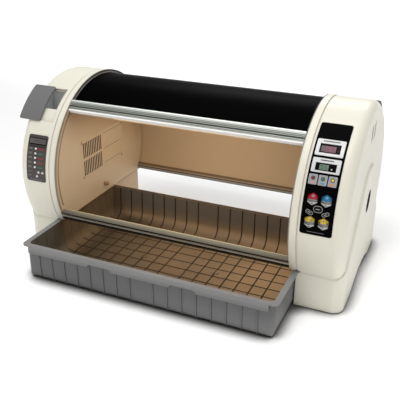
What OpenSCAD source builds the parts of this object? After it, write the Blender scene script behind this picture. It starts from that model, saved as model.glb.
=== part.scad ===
// Brooder cabinet: a clear chamber between two drum-shaped housings, with a lift-up curved door,
// a litter tray that slides out below the door, and a control panel on each housing.
// X runs across the cabinet, -Y is the front, Z is up. The drum axis lies along X.

/* [Cabinet] */
// Clear width of the chamber between its two inner walls
chamber_w = 500; // [440:5:560]
// Radius of the drum-shaped housings at their rims
drum_r = 196; // [188:1:206]
// Height of the drum axis above the floor
axis_z = 168; // [163:1:176]

/* [Housings] */
// Width of the left housing, outwards from the chamber
left_w = 92; // [92:1:110]
// Width of the right housing, outwards from the chamber
right_w = 100; // [100:1:120]
// Rounding of the outer edge of each drum
edge_r = 20; // [14:1:20]
// Wall thickness of the housings
shell_t = 3; // [2:0.5:4]
// Width of the raised rim beside the chamber
rim_w = 13; // [10:0.5:15]
// Height of the raised rim
rim_step = 1; // [0.5:0.1:2]
// Width of the seam behind the rim
seam_w = 2; // [1:0.25:3]
// Depth of the seam behind the rim
seam_d = 1.2; // [0.6:0.1:2]

/* [Pedestals] */
// Depth of each pedestal from front to back
ped_d = 344; // [330:1:356]
// Rounding of the outer upright corners of a pedestal
ped_r = 22; // [14:1:30]
// How far the pedestal stands proud of the drum's side
skirt_t = 4; // [2:0.5:6]
// Height of the pedestal's peak on the outer side
peak_z = 238; // [215:1:260]
// Width of the rounded peak between its corner centres
peak_w = 36; // [16:2:60]
// Height of the pedestal's shoulders at front and back
shoulder_z = 84; // [78:1:96]
// Rounding of the pedestal's outline on the outer side
skirt_r = 18; // [12:1:24]
// Width of the arch between the front and rear feet
arch_w = 180; // [150:5:200]
// Height of the arch
arch_h = 18; // [10:1:22]
// Radius of the rubber feet
foot_r = 9; // [6:0.5:12]
// How far the rubber feet lift the cabinet
foot_h = 2; // [1:0.5:4]
// Depth of the pocket that holds a rubber foot
foot_pocket = 2; // [1:0.5:3]

/* [Side openings] */
// Width of the hand slot in each outer side
slot_w = 30; // [20:1:36]
// Length of the hand slot
slot_l = 44; // [40:1:60]
// Lean of the hand slot
slot_lean = 30; // [0:5:40]
// Depth of the hand slot's cup
slot_depth = 17; // [12:1:22]
// Wall of the hand slot's cup
cup_t = 1.5; // [1:0.25:2.5]
// Width of the rim on the hand slot's cup
cup_rim = 2; // [1.5:0.25:3]
// Length of one air slit high on the outer side
slit_l = 16; // [12:1:18]
// Width of one air slit
slit_w = 2.4; // [1.5:0.1:3]
// Height from one air slit to the next
slit_pitch = 5; // [4.5:0.25:6]
// Number of air slits in a column
slit_count = 6; // [3:1:7]
// Lean of the air slits
slit_lean = 24; // [0:2:35]

/* [Chamber] */
// Thickness of the inner walls
wall_t = 6; // [5:0.5:8]
// Step from the drum's rim down to the top cover
cover_drop = 7; // [6:0.25:9]
// Thickness of the top cover
cover_t = 2.5; // [2:0.25:3.5]
// Thickness of the curved liner behind and above the chamber
liner_t = 3; // [2:0.25:4]
// Angle up from the front at which the top cover starts
cover_a = 54.5; // [48:0.5:60]
// Angle over the top at which cover and liner end at the back
back_a = 204.5; // [200:0.5:206]
// Height of the fixed rail along the cover's front edge
rail_h = 13.4; // [10:0.2:16]
// How far the rail stands proud of the drum's rim
rail_proud = 1; // [0.5:0.25:2]
// Angle of the front sill's top, below the horizontal
sill_a = 20; // [18:0.5:23]
// Depth of the front sill from front to back
sill_t = 13; // [11:0.5:20]
// Depth of the rear sill from front to back
back_sill_t = 17; // [14.5:0.5:20]
// Thickness of the trim strips on the rims' inner faces
trim_t = 2; // [1:0.25:3]
// Height of the dark trim strip
gasket_h = 3.2; // [2:0.2:4]
// Height of the pale trim strip
bead_h = 2.8; // [1.5:0.2:3]

/* [Door] */
// Thickness of the clear curved pane
pane_t = 3; // [2:0.25:3.5]
// Gap between the pane and the cover above it
cover_gap = 2.5; // [1.5:0.25:3]
// Gap between the pane and the liner below it
liner_gap = 3; // [2:0.25:4]
// Depth of the pane's track in the inner walls
track_d = 4; // [3:0.25:4.5]
// Height of the door's handle bar
handle_h = 6.4; // [5:0.2:12]
// Depth of the handle bar in front of the pane
handle_t = 10; // [7:0.5:11]
// Height of the seal along the door's lower edge
seal_h = 3; // [2:0.25:4]
// How far the closed pane laps behind the rail
pane_lap = 9; // [5:0.5:12]

/* [Tray] */
// Height of the tray's rim above the floor
tray_top = 76.5; // [72:0.5:80]
// Gap between the tray's ribs and the floor
floor_gap = 0.3; // [0.2:0.1:4]
// How far the tray's rim reaches past the chamber on each side
tray_lap = 18; // [15:0.1:20]
// How far the tray is pulled out as shown
tray_out = 113; // [60:1:150]
// How far the closed tray's lip stands before the pedestals
lip_proud = 15; // [10:1:20]
// Room behind the closed tray, to the pedestals' back
tray_rear = 19; // [14:1:30]
// How far the tray's rim reaches past its walls
flange_w = 6; // [4:0.25:8]
// Thickness of the tray's rim
flange_t = 2.5; // [2:0.25:3]
// Thickness of the tray's floor
tray_t = 2.5; // [2:0.25:3]
// Thickness of the tray's walls
tray_wall = 5; // [4:0.25:7]
// Inward lean of the tray's walls from rim to floor
draft = 2; // [1:0.25:4]
// Rounding between the tray's floor and its walls, inside
cove_r = 22; // [14:1:28]
// Rounding of the tray's lower edges, outside
keel_r = 10; // [6:1:14]
// Rounding of the tray's upright corners
tray_r = 14; // [10:1:24]
// Height of the lip along the tray's front
lip_h = 16; // [12:0.5:20]
// Width of each finger scallop in the lip
scallop_w = 52; // [36:1:60]
// Depth of each finger scallop in the lip
scallop_h = 6; // [3:0.5:7]
// Distance between neighbouring ribs
rib_pitch = 29.4; // [24:0.2:34]
// Width of the plain bay in the middle of the front
rib_bay = 49; // [40:1:54]
// Width of one rib
rib_w = 2; // [1.5:0.1:3]
// How far a rib stands out of the tray
rib_h = 1.4; // [0.8:0.1:2]
// Width of the grid lines in the tray's floor
line_w = 1.4; // [1:0.1:2]
// Depth of the grid lines
line_d = 0.8; // [0.4:0.1:1.2]

/* [Lids] */
// Width of a sliding lid along the cabinet
lid_w = 51; // [46:0.5:54]
// Thickness of a sliding lid
lid_t = 3; // [2:0.25:4]
// Distance from the chamber to a lid's well
well_x = 24; // [22:0.5:28]
// Lower edge of a lid's well, as an angle up from the horizontal
well_a0 = 38; // [36:0.5:40]
// Upper edge of a lid's well, as an angle up from the horizontal
well_a1 = 62; // [60:0.5:64]
// Lower edge of the filling port in the well
port_a0 = 47; // [45:0.5:50]
// Depth of the well below the drum's surface
well_d = 4; // [3.5:0.25:4.5]
// How far the left lid is slid open as shown
left_lid_out = 31; // [10:1:32]
// How far the rear lid is slid open as shown
rear_lid_out = 20; // [10:1:32]
// Most that a lid slides open
lid_travel = 32; // [32:0.5:33]

/* [Right panel] */
// Width of the right control panel
right_panel_w = 57.5; // [54:0.5:58.5]
// Height of the right control panel, along the drum
right_panel_h = 213; // [200:1:226]
// Distance from the chamber to the right control panel
right_panel_x = 18.5; // [16:0.5:19.5]
// Lower edge of the right panel, as an angle up from the horizontal
right_panel_a = 0.3; // [-3:0.1:4]
// Width of the two display bezels
bezel_w = 50; // [47:0.5:52]
// Height of a bezel above the panel
bezel_t = 1.6; // [1:0.1:2.5]
// Width of the display windows
window_w = 37; // [32:0.5:40]
// Side of the three indicator tiles
tile_w = 15.4; // [13:0.2:16.4]
// Height of a tile above the panel
tile_t = 0.8; // [0.4:0.1:1.2]
// Radius of the indicator lamps
lamp_r = 2.3; // [1.5:0.1:3]
// Width across the flats of the six-sided keys
hex_w = 19.2; // [16:0.2:20]
// Width of the oval key
oval_w = 17; // [14:0.5:18]
// Height of the oval key
oval_h = 12; // [9:0.5:12]
// Length of the two slanted keys
slant_w = 14; // [11:0.5:14.5]
// Height of the two slanted keys
slant_h = 7; // [5:0.25:7]
// Lean of the two slanted keys
slant_lean = 25; // [10:1:35]

/* [Left panel] */
// Width of the left control panel
left_panel_w = 47; // [44:0.5:50]
// Height of the left control panel, along the drum
left_panel_h = 98; // [92:1:106]
// Distance from the chamber to the left control panel
left_panel_x = 23; // [20:0.5:26]
// Lower edge of the left panel, as an angle up from the horizontal
left_panel_a = 0; // [-3:0.1:4]
// Radius of the five round lamps
dot_r = 2.2; // [1.5:0.1:2.8]
// Radius of the three round keys
button_r = 2.4; // [1.8:0.1:2.8]

/* [Panels and keys] */
// How far a panel is let into its housing
panel_sink = 1.2; // [0.8:0.1:1.6]
// How far a panel stands proud of its housing
panel_proud = 0.4; // [0.2:0.1:1]
// Rounding of the panels' corners
panel_r = 5; // [2:0.5:8]
// How far the keys stand proud of their panel
key_proud = 2.2; // [1.6:0.1:3]
// Travel of a key when it is pressed
key_travel = 1; // [0.6:0.1:1.4]
// Radius of the domed top of a key
key_dome = 34; // [26:1:60]

/* [Air unit] */
// Side of the square fan
fan_w = 92; // [84:1:94]
// Depth of the fan's frame
fan_t = 25; // [20:1:28]
// Radius of the fan's hub
hub_r = 16; // [13:0.5:20]
// Radius of the fan's shaft
shaft_r = 2; // [1.5:0.1:3]
// Number of blades
blade_count = 7; // [5:1:9]
// Twist of the blades against the fan's plane
blade_lean = 38; // [25:1:45]
// Depth of the heater block
heater_t = 12; // [8:1:16]
// Width of the air panel in the left inner wall
air_w = 175; // [165:1:182]
// Height of the air panel
air_h = 90; // [86:1:94]
// Thickness of the air panel
air_t = 3; // [2:0.25:4]
// Number of slots in each row of the grille
grille_count = 11; // [7:1:12]
// Width of one grille slot
grille_slot = 3.6; // [2.5:0.1:4]

/* [Hidden] */
$fn = 96;
// Cuts run this far past the faces that they open
over = 1;
// Gap between a sliding or turning piece and its guide
slide_gap = 0.5;
// Gap round a piece that is set into a pocket
fit_gap = 0.2;
// Gap round a key in its panel
key_gap = 0.35;
// Place of a rounded corner's centre, as a share of its radius from the sides
corner_share = 0.97;

half = chamber_w / 2;
body_r = drum_r - rim_step;
inner_r = body_r - shell_t;
inner_edge_r = edge_r - shell_t;

// Stack of curved sheets from the cover inwards
cover_r = drum_r - cover_drop;
cover_r0 = cover_r - cover_t;
pane_r1 = cover_r0 - cover_gap;
pane_r0 = pane_r1 - pane_t;
liner_r1 = pane_r0 - liner_gap;
liner_r0 = liner_r1 - liner_t;

// The inner walls sit in the rims and rest on a ledge
wall_r = cover_r - fit_gap;
ledge_w = 4;
ledge_r = cover_r - ledge_w;
ledge_t = 6;

// The bay in which the tray slides, and the ledges that carry the tray's rim
bay_gap = 2.3;
bay_gap_z = 1;
ledge_gap = 0.7;
rim_gap = 0.3;
bay_half = half + tray_lap + bay_gap;
bay_top = tray_top + bay_gap_z;
side_half = half + tray_lap - flange_w + ledge_gap;
side_top = tray_top - flange_t - rim_gap;
side_back = ped_d / 2 - tray_rear + slide_gap;
wall_z = bay_top + shell_t;
inner_floor = foot_h + arch_h + shell_t;

// Angles of the rail, the raised door and the sill
rail_a0 = cover_a - arc_deg(rail_h, drum_r);
handle_gap = 1.2;
handle_a1 = rail_a0 - arc_deg(handle_gap, drum_r);
handle_a0 = handle_a1 - arc_deg(handle_h, drum_r);
seal_a0 = handle_a0 - arc_deg(seal_h, drum_r);
door_travel = seal_a0 + sill_a - arc_deg(slide_gap, drum_r);
handle_lip = 3;
pane_a0 = handle_a0 + arc_deg(handle_lip, drum_r);
pane_a1 = rail_a0 + arc_deg(pane_lap, drum_r) + door_travel;
track_a0 = pane_a0 - door_travel - arc_deg(over, drum_r);
track_a1 = pane_a1 + arc_deg(over, drum_r);
pane_half = half + track_d - slide_gap;
handle_half = half - trim_t - slide_gap;
handle_r1 = pane_r1 + handle_t;
liner_a0 = handle_a0;

// Grooves along the rail, the handle and the sills, at shares of their height
groove_d = 1.2;
groove_w = 1.2;
rail_shares = [0.16, 0.4];
handle_shares = [0.42];
sill_shares = [0.18, 0.6];
sill_drop = 32;
sill_lift = 5;
sill_face = 19;
sill_groove_d = 3;
sill_groove_w = 3;

// Tray, shown pulled out
tray_half = half + tray_lap;
tray_front = -(ped_d / 2 + lip_proud + tray_out);
tray_back = ped_d / 2 - tray_rear - tray_out;
tray_l = tray_back - tray_front;
tray_mid = (tray_front + tray_back) / 2;
tray_z = floor_gap + rib_h;
tray_h = tray_top - tray_z;
tub_w = 2 * (tray_half - flange_w);
tub_l = tray_l - 2 * flange_w;
flange_r = 12;
lip_t = 2.5;
lip_in = 17;
lip_r = 5;
scallop_share = 0.327;
boss_r = 8;
boss_h = 1.5;
boss_share = 0.31;
rib_end = 14;
rib_count = 1 + floor((tub_w / 2 - rib_bay / 2 - rib_end) / rib_pitch);
rib_xs = [for (s = [-1, 1]) for (i = [0 : rib_count - 1]) s * (rib_bay / 2 + i * rib_pitch)];
line_count = floor((tub_l - 2 * cove_r) / rib_pitch);

// Sliding lids and their wells
lid_gap = 0.4;
lid_lap = 2;
lid_r = 4;
lid_rail_w = 4;
lid_rail_l = 12;
lid_hook = 3;
lid_hook_t = 1.5;
lid_r0 = body_r + lid_gap;
lid_a0 = well_a0 - arc_deg(lid_lap, body_r);
lid_a1 = well_a1 + arc_deg(lid_lap, body_r);
lid_x = half + well_x - lid_lap;
well_r = body_r - well_d;
pad_t = 4;
pad_r = well_r - pad_t;
pad_rim = 7;
well_l = lid_travel + lid_lap + lid_rail_l + over;
port_x = 4;
port_w = 38;
port_rim = 1.5;

// Tank below each filling port
tank_t = 2;
tank_h = 62;
tank_gap = 0.3;
tank_side = 3;

// Panels: where a share of a panel's width and height lies on the drum
panel_r0 = body_r - panel_sink;
panel_r1 = body_r + panel_proud;
panel_gap = 0.15;
key_r1 = panel_r1 + key_proud;
key_r0 = panel_r0 - shell_t + panel_sink + key_travel;
function right_x(s) = half + right_panel_x + s * right_panel_w;
function right_a(s) = right_panel_a + s * arc_deg(right_panel_h, body_r);
function left_x(s) = -(half + left_panel_x) - (1 - s) * left_panel_w;
function left_a(s) = left_panel_a + s * arc_deg(left_panel_h, body_r);

// Places on the right panel, as shares of its width and height, from its lower left corner
mid_share = 0.5;
heat_shares = [0.285, 0.304];
mist_shares = [0.71, 0.304];
fan_shares = [0.285, 0.111];
light_shares = [0.71, 0.111];
set_shares = [0.495, 0.226];
down_shares = [0.245, 0.193];
up_shares = [0.745, 0.193];
warm_shares = [0.668, 0.819];
warm_window_shares = [0.692, 0.778];
damp_shares = [0.524, 0.646];
damp_window_shares = [0.539, 0.606];
tile_shares = [0.42, 0.506];
tile_x_shares = [0.187, 0.487, 0.787];
lamp_share = 0.474;
bezel_r = 2;

// Places on the left panel, as shares of its width and height, from its lower left corner
screen_shares = [0.79, 0.94];
screen_x_shares = [0.06, 0.94];
dot_x_share = 0.45;
dot_shares = [0.31, 0.41, 0.51, 0.605, 0.705];
mode_shares = [0.56, 0.12];
less_shares = [0.64, 0.21];
more_shares = [0.85, 0.21];
screen_t = 0.6;

// Air unit on the left inner wall
fan_y_share = 0.26;
air_y = -95;
air_z = 139;
fan_z = air_z + air_h / 2;
fan_y = air_y + fan_y_share * air_w;
window_in = 4;
fan_bore_r = fan_w / 2 - 3;
rotor_gap = 1.5;
rotor_r = fan_bore_r - rotor_gap;
rotor_t_share = 0.66;
strut_w = 5;
strut_t = 4;
strut_in = 1.5;
strut_turn = 15;
shaft_gap = 0.05;
blade_t = 1.6;
blade_root = 3;
blade_in = 1;
fin_count = 9;
fin_gap_share = 0.6;
heater_rim = 5;
grille_rim = 8;
grille_bar = 6;
screw_r = 2.8;
screw_h = 1.4;
screw_in = 5;
seam_shares = [0.12, 0.5, 0.91];
seam_line_w = 1;
seam_line_d = 0.6;
mist_r = 12;
mist_t = 9;
probe_r = 4;
probe_l = 12;
probe_y = -8;
probe_z = 100;

// Electronics on the right inner wall
board_w = 86;
board_h = 110;
board_t = 1.6;
board_y = -128;
board_z = 138;
standoff_r = 3;
standoff_l = 8;
standoff_in = 6;
chip_share = 0.36;
chip_t = 4;
supply_w = 96;
supply_h = 58;
supply_t = 36;
supply_y = 8;
supply_z = 120;
supply_slots = 7;
supply_slot_w = 3;
supply_slot_d = 2;

// Mains inlet and switch on the back of the right pedestal
inlet_x_share = 0.72;
switch_x_share = 0.2;
inlet_z_share = 0.62;
back_y = ped_d / 2;
back_top = min(shoulder_z, axis_z - sqrt(max(0, body_r * body_r - back_y * back_y)));
inlet_w = 27;
inlet_h = 19.6;
inlet_rim = 2;
inlet_z = min(foot_h + inlet_z_share * (back_top - foot_h), back_top - inlet_h / 2 - inlet_rim - fit_gap);
inlet_rim_t = 2;
inlet_depth = 18;
inlet_t = 2;
pin_w = 2;
pin_h = 4;
pin_l = 12;
pin_pitch = 7;
pin_rise = 2;
switch_w = 13;
switch_h = 19;
switch_depth = 12;
rocker_gap = 0.4;
rocker_rise = 3;
rocker_tilt = 8;
rocker_pin_r = 1;

// Hand slots and air slits on the outer sides
slot_y = 8;
slot_z = 161;
slit_y_shares = [-0.11, 0.03];
slit_z = 297;

// The origin lies under the middle of the whole object as shown
x_low = max(lid_x + lid_w + left_lid_out, half + left_w + skirt_t);
x_high = max(lid_x + lid_w + rear_lid_out, half + right_w + skirt_t);
frame_x = (x_low - x_high) / 2;
frame_y = -(tray_front + drum_r) / 2;

// Angle that an arc of a given length takes up on a given radius
function arc_deg(len, r) = len / r * 180 / PI;

// Sector of a tube about the drum axis: angles count from the front, up and over
module band(x0, x1, r0, r1, a0, a1) {
    translate([0, 0, axis_z])
        rotate([-90 - a1, 0, 0])
            rotate([0, 90, 0])
                rotate_extrude(angle = a1 - a0)
                    translate([r0, x0])
                        square([r1 - r0, x1 - x0]);
}

// Moves children to the drum's surface: local Z points outwards and local Y up the drum
module on_drum(x, a) {
    translate([x, 0, axis_z])
        rotate([90 - a, 0, 0])
            children();
}

// The sliver outside a rounded corner whose sides run along +X and +Y. The round crosses the sides
// at a slight angle, which leaves clean edges where a tangent round would not
module corner_2d(r) {
    c = corner_share * r;
    difference() {
        translate([-over, -over])
            square([r + over, r + over]);
        translate([c, c])
            circle(r);
    }
}

// A band with its four corners rounded
module round_band(x0, x1, r0, r1, a0, a1, r) {
    difference() {
        band(x0, x1, r0, r1, a0, a1);
        for (c = [[x0, a0, 0], [x1, a0, 90], [x1, a1, 180], [x0, a1, 270]])
            on_drum(c[0], c[1])
                rotate([0, 0, c[2]])
                    translate([0, 0, r0 - over])
                        linear_extrude(r1 - r0 + 2 * over)
                            corner_2d(r);
    }
}

// Rectangle about the origin with round corners
module round_rect(w, l, r) {
    square([w - 2 * r, l], center = true);
    square([w, l - 2 * r], center = true);
    for (x = [-1, 1], y = [-1, 1])
        translate([x * (w / 2 - r), y * (l / 2 - r)])
            circle(r);
}

// Slot with round ends, its length along X
module stadium(l, w) {
    square([l - w, w], center = true);
    for (x = [-1, 1])
        translate([x * (l - w) / 2, 0])
            circle(w / 2);
}

// Everything above a given height
module above(z) {
    translate([-drum_r - half - right_w, -2 * drum_r, z])
        cube([2 * (drum_r + half + right_w), 4 * drum_r, 2 * drum_r]);
}

// Half section of a drum: radius along X, width along Y
module drum_2d(w) {
    difference() {
        union() {
            square([body_r - edge_r, w]);
            square([body_r, w - edge_r]);
            translate([body_r - edge_r, w - edge_r])
                circle(edge_r);
            square([drum_r, rim_w]);
        }
        translate([body_r - seam_d, rim_w])
            square([seam_d + over, seam_w]);
    }
}

// Half section of the hollow in a drum, with the seat of the inner wall
module hollow_2d(w) {
    square([cover_r, wall_t]);
    square([ledge_r, wall_t + ledge_t]);
    translate([0, wall_t + ledge_t])
        square([inner_r, w - edge_r - wall_t - ledge_t]);
    square([inner_r - inner_edge_r, w - shell_t]);
    translate([inner_r - inner_edge_r, w - edge_r])
        circle(inner_edge_r);
}

module drum(w) {
    translate([half, 0, axis_z])
        rotate([0, 90, 0])
            rotate_extrude()
                drum_2d(w);
}

module drum_hollow(w) {
    difference() {
        translate([half, 0, axis_z])
            rotate([0, 90, 0])
                rotate_extrude()
                    hollow_2d(w);
        translate([0, -drum_r, wall_z - 2 * drum_r])
            cube([bay_half + shell_t, 2 * drum_r, 2 * drum_r]);
        translate([0, -drum_r, inner_floor - 2 * drum_r])
            cube([half + right_w + left_w, 2 * drum_r, 2 * drum_r]);
    }
}

// Plan of a pedestal from the tray bay outwards, with its two outer corners rounded
module ped_2d(x0, x1, d, r) {
    translate([x0, -d / 2])
        square([x1 - x0 - r, d]);
    translate([x0, -d / 2 + r])
        square([x1 - x0, d - 2 * r]);
    for (y = [-1, 1])
        translate([x1 - r, y * (d / 2 - r)])
            circle(r);
}

// The pedestal: its plan, cut to a peaked outline with a bevelled edge on the outer side
module pedestal(w) {
    x1 = half + w + skirt_t;
    foot_y = ped_d / 2 - skirt_r;
    intersection() {
        translate([0, 0, foot_h])
            linear_extrude(peak_z)
                ped_2d(side_half, x1, ped_d, ped_r);
        hull()
            for (s = [-1, 1])
                for (p = [[foot_y, 0], [foot_y, shoulder_z - skirt_r], [peak_w / 2, peak_z - skirt_r]])
                    translate([side_half, s * p[0], p[1]])
                        rotate([0, 90, 0])
                            skirt_rod(x1 - side_half);
    }
}

module skirt_rod(l) {
    cylinder(h = l - skirt_t, r = skirt_r, $fn = 32);
    translate([0, 0, l - skirt_t])
        cylinder(h = skirt_t, r1 = skirt_r, r2 = skirt_r - skirt_t, $fn = 32);
}

module pedestal_hollow(w) {
    translate([0, 0, inner_floor])
        linear_extrude(axis_z - inner_floor)
            ped_2d(bay_half + shell_t, half + w - shell_t, ped_d - 2 * shell_t, ped_r - shell_t);
}

// The arch under a pedestal, as a round cut from side to side
module arch(w) {
    r = (arch_w * arch_w / 4 + arch_h * arch_h) / (2 * arch_h);
    translate([side_half - over, 0, foot_h + arch_h - r])
        rotate([0, 90, 0])
            cylinder(h = w + half + skirt_t + 2 * over, r = r);
}

// The tray's bay: a slot for its body, and a wider one for its rim that stops the closed tray
module tray_bay() {
    y0 = -drum_r - over;
    translate([0, y0, -drum_r])
        cube([side_half, 2 * (drum_r + over), bay_top + drum_r]);
    translate([0, y0, side_top])
        cube([bay_half, side_back - y0, bay_top - side_top]);
}

// Places of the four feet under a pedestal
module at_feet(w) {
    x0 = bay_half + shell_t + foot_r;
    x1 = half + w - shell_t - foot_r;
    y = (ped_d / 2 - ped_r + arch_w / 2) / 2;
    for (x = [x0, x1])
        for (s = [-1, 1])
            translate([x, s * y, 0])
                children();
}

// Slot in the outer side, from the side's face inwards
module hand_slot(w, grow, depth) {
    translate([half + w + skirt_t - depth, slot_y, slot_z])
        rotate([90, 0, 90])
            linear_extrude(depth + over)
                rotate(90 - slot_lean)
                    stadium(slot_l + 2 * grow, slot_w + 2 * grow);
}

module air_slits(w) {
    for (share = slit_y_shares)
        for (i = [0 : slit_count - 1])
            translate([half + w, share * body_r, slit_z + i * slit_pitch])
                rotate([slit_lean, 0, 0])
                    cube([4 * shell_t, slit_l, slit_w], center = true);
}

// Well in which a lid's rails run, with its undercut edges and its filling port
module lid_well() {
    x0 = half + well_x;
    x1 = x0 + well_l;
    hook_a = arc_deg(lid_hook + slide_gap, well_r);
    band(x0, x1, well_r, drum_r + over, well_a0, well_a1);
    band(x0, x1, well_r, well_r + lid_hook_t + 2 * slide_gap, well_a0 - hook_a, well_a1 + hook_a);
    band(x0 + port_x, x0 + port_x + port_w, pad_r - over, well_r + over, port_a0, well_a1 - port_a());
}

function port_a() = arc_deg(port_rim, well_r);

// Thick pad inside the drum that the well is sunk into
module lid_pad(w) {
    intersection() {
        drum(w);
        band(bay_half + shell_t, half + well_x + well_l, pad_r, drum_r,
            well_a0 - arc_deg(pad_rim, body_r), well_a1 + arc_deg(pad_rim, body_r));
    }
}

// Shell shared by the two housings, modelled on the right. lid_turn puts the lid at front or back.
// The first child is the panel's recess in the drum, the second holds all openings of the one side
module housing(w, lid_turn) {
    difference() {
        union() {
            difference() {
                intersection() {
                    union() {
                        difference() {
                            drum(w);
                            children(0);
                        }
                        pedestal(w);
                    }
                    above(foot_h);
                }
                drum_hollow(w);
                pedestal_hollow(w);
            }
            turn_to_back(lid_turn)
                lid_pad(w);
        }
        tray_bay();
        arch(w);
        turn_to_back(lid_turn)
            lid_well();
        hand_slot(w, 0, slot_depth + shell_t + skirt_t);
        hand_slot(w, cup_rim, cup_t);
        air_slits(w);
        at_feet(w)
            translate([0, 0, foot_h - over])
                cylinder(h = foot_pocket + over, r = foot_r + fit_gap);
        children(1);
    }
}

// Mirrors children from the front of a drum to its back
module turn_to_back(back) {
    if (back)
        mirror([0, 1, 0])
            children();
    else
        children();
}

module left_housing() {
    color("ivory")
        mirror([1, 0, 0])
            housing(left_w, false) {
                mirror([1, 0, 0])
                    left_recess();
                mirror([1, 0, 0])
                    left_keys(key_gap, inner_r - over, drum_r);
            }
}

module right_housing() {
    color("ivory")
        housing(right_w, true) {
            right_recess();
            union() {
                right_keys(key_gap, inner_r - over, drum_r);
                back_openings();
            }
        }
}

// Inner walls

module wall_disc() {
    difference() {
        intersection() {
            translate([half, 0, axis_z])
                rotate([0, 90, 0])
                    cylinder(h = wall_t, r = wall_r);
            above(wall_z);
        }
        band(half - over, half + track_d, pane_r0 - slide_gap, pane_r1 + slide_gap, track_a0, track_a1);
    }
}

module left_inner_wall() {
    color("tan")
        difference() {
            mirror([1, 0, 0])
                wall_disc();
            translate([-half - air_t, air_y, air_z])
                cube([air_t + over, air_w, air_h]);
            translate([-half - wall_t - over, fan_y, fan_z])
                rotate([90, 0, 90])
                    linear_extrude(wall_t + over)
                        square(fan_w - 2 * window_in, center = true);
        }
}

module right_inner_wall() {
    color("tan")
        wall_disc();
}

module air_panel() {
    slot_h = (fan_w - 2 * grille_rim - grille_bar) / 2;
    pitch = (fan_w - 2 * grille_rim) / grille_count;
    color("tan")
        difference() {
            translate([-half - air_t, air_y + fit_gap, air_z + fit_gap])
                cube([air_t, air_w - 2 * fit_gap, air_h - 2 * fit_gap]);
            for (row = [-1, 1])
                for (i = [0 : grille_count - 1])
                    translate([-half - air_t / 2,
                            fan_y + (i - (grille_count - 1) / 2) * pitch,
                            fan_z + row * (slot_h + grille_bar) / 2])
                        cube([air_t + 2 * over, grille_slot, slot_h], center = true);
            for (s = seam_shares)
                translate([-half - seam_line_d, fan_y + fan_w / 2, air_z + s * air_h])
                    cube([seam_line_d + over, air_y + air_w - screw_in - fan_y - fan_w / 2, seam_line_w]);
        }
}

module air_panel_screws() {
    color("silver")
        for (y = [air_y + screw_in, air_y + air_w - screw_in])
            for (z = [air_z + screw_in, air_z + air_h - screw_in])
                translate([-half, y, z])
                    rotate([0, 90, 0])
                        screw_head();
}

// Domed head of a small screw, standing on its base
module screw_head() {
    dome = (screw_r * screw_r + screw_h * screw_h) / (2 * screw_h);
    intersection() {
        cylinder(h = screw_h, r = screw_r);
        translate([0, 0, screw_h - dome])
            sphere(dome);
    }
}

module temperature_probe() {
    color("dimgray")
        translate([-half, probe_y, probe_z])
            rotate([0, 90, 0]) {
                cylinder(h = probe_l - probe_r, r = probe_r);
                translate([0, 0, probe_l - probe_r])
                    sphere(probe_r);
            }
}

// Curved sheets, rails and sills of the chamber

module top_cover() {
    color("black")
        band(-half, half, cover_r0, cover_r, cover_a, back_a);
}

module inner_liner() {
    color("burlywood")
        band(-half, half, liner_r0, liner_r1, liner_a0, back_a);
}

// Grooves across the face of a rail, at shares of its height
module grooves(x, r, depth, a0, a1, shares, w) {
    for (s = shares) {
        a = a0 + s * (a1 - a0);
        band(-x - over, x + over, r - depth, r + over, a, a + arc_deg(w, r));
    }
}

module cover_rail() {
    x = half - trim_t;
    r = drum_r + rail_proud;
    color("darkgray")
        difference() {
            band(-x, x, cover_r0, r, rail_a0, cover_a);
            grooves(x, r, groove_d, rail_a0, cover_a, rail_shares, groove_w);
        }
}

module front_sill() {
    r = drum_r + rail_proud;
    a0 = -sill_a - arc_deg(sill_drop, drum_r);
    face_a0 = -sill_a - arc_deg(sill_face, r);
    color("silver")
        intersection() {
            difference() {
                band(-half, half, r - sill_t, r, a0, -sill_a);
                grooves(half, r, sill_groove_d, face_a0, -sill_a, sill_shares, sill_groove_w);
            }
            above(bay_top + sill_lift);
        }
}

module rear_sill() {
    color("dimgray")
        intersection() {
            band(-half, half, cover_r - back_sill_t, cover_r, back_a, back_a + arc_deg(sill_drop, cover_r));
            above(bay_top + sill_lift);
        }
}

// Strip along a rim's inner face, on both sides of the chamber
module rim_strips(r0, r1) {
    for (x = [-half, half - trim_t])
        band(x, x + trim_t, r0, r1, -sill_a, back_a);
}

module edge_gaskets() {
    color("dimgray")
        rim_strips(drum_r - fit_gap - gasket_h, drum_r - fit_gap);
}

module edge_beads() {
    color("lightgray")
        rim_strips(cover_r + fit_gap, cover_r + fit_gap + bead_h);
}

// Door: clear pane, handle bar and seal

module door_pane() {
    color("lightcyan", 0.4)
        band(-pane_half, pane_half, pane_r0, pane_r1, pane_a0, pane_a1);
}

module door_handle() {
    color("gainsboro")
        difference() {
            union() {
                band(-handle_half, handle_half, pane_r1, handle_r1, handle_a0, handle_a1);
                band(-handle_half, handle_half, pane_r0, handle_r1, handle_a0, pane_a0);
            }
            grooves(handle_half, handle_r1, groove_d, handle_a0, handle_a1, handle_shares, groove_w);
        }
}

module door_seal() {
    color("white")
        band(-handle_half, handle_half, pane_r1, handle_r1, seal_a0, handle_a0);
}

// Tray

// Section of a tub: width l at the top, leaning walls and floor corners of radius r
module tub_2d(l, h, lean, r) {
    side = sqrt(h * h + lean * lean);
    foot = l / 2 - lean;
    cx = foot - r * (side - lean) / h;
    tx = cx + r * h / side;
    ty = r - r * lean / side;
    difference() {
        polygon([[-l / 2, h], [-foot, 0], [foot, 0], [l / 2, h]]);
        for (s = [0, 1])
            mirror([s, 0])
                difference() {
                    polygon([[cx, 0], [cx, -over], [tx + r, -over], [tx + r, ty], [tx, ty]]);
                    translate([cx, r])
                        circle(r);
                }
    }
}

// Slice of a tub across the cabinet, of thickness t about X = 0
module tub_slice(l, h, lean, r, t) {
    rotate([90, 0, 90])
        linear_extrude(t, center = true)
            tub_2d(l, h, lean, r);
}

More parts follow.
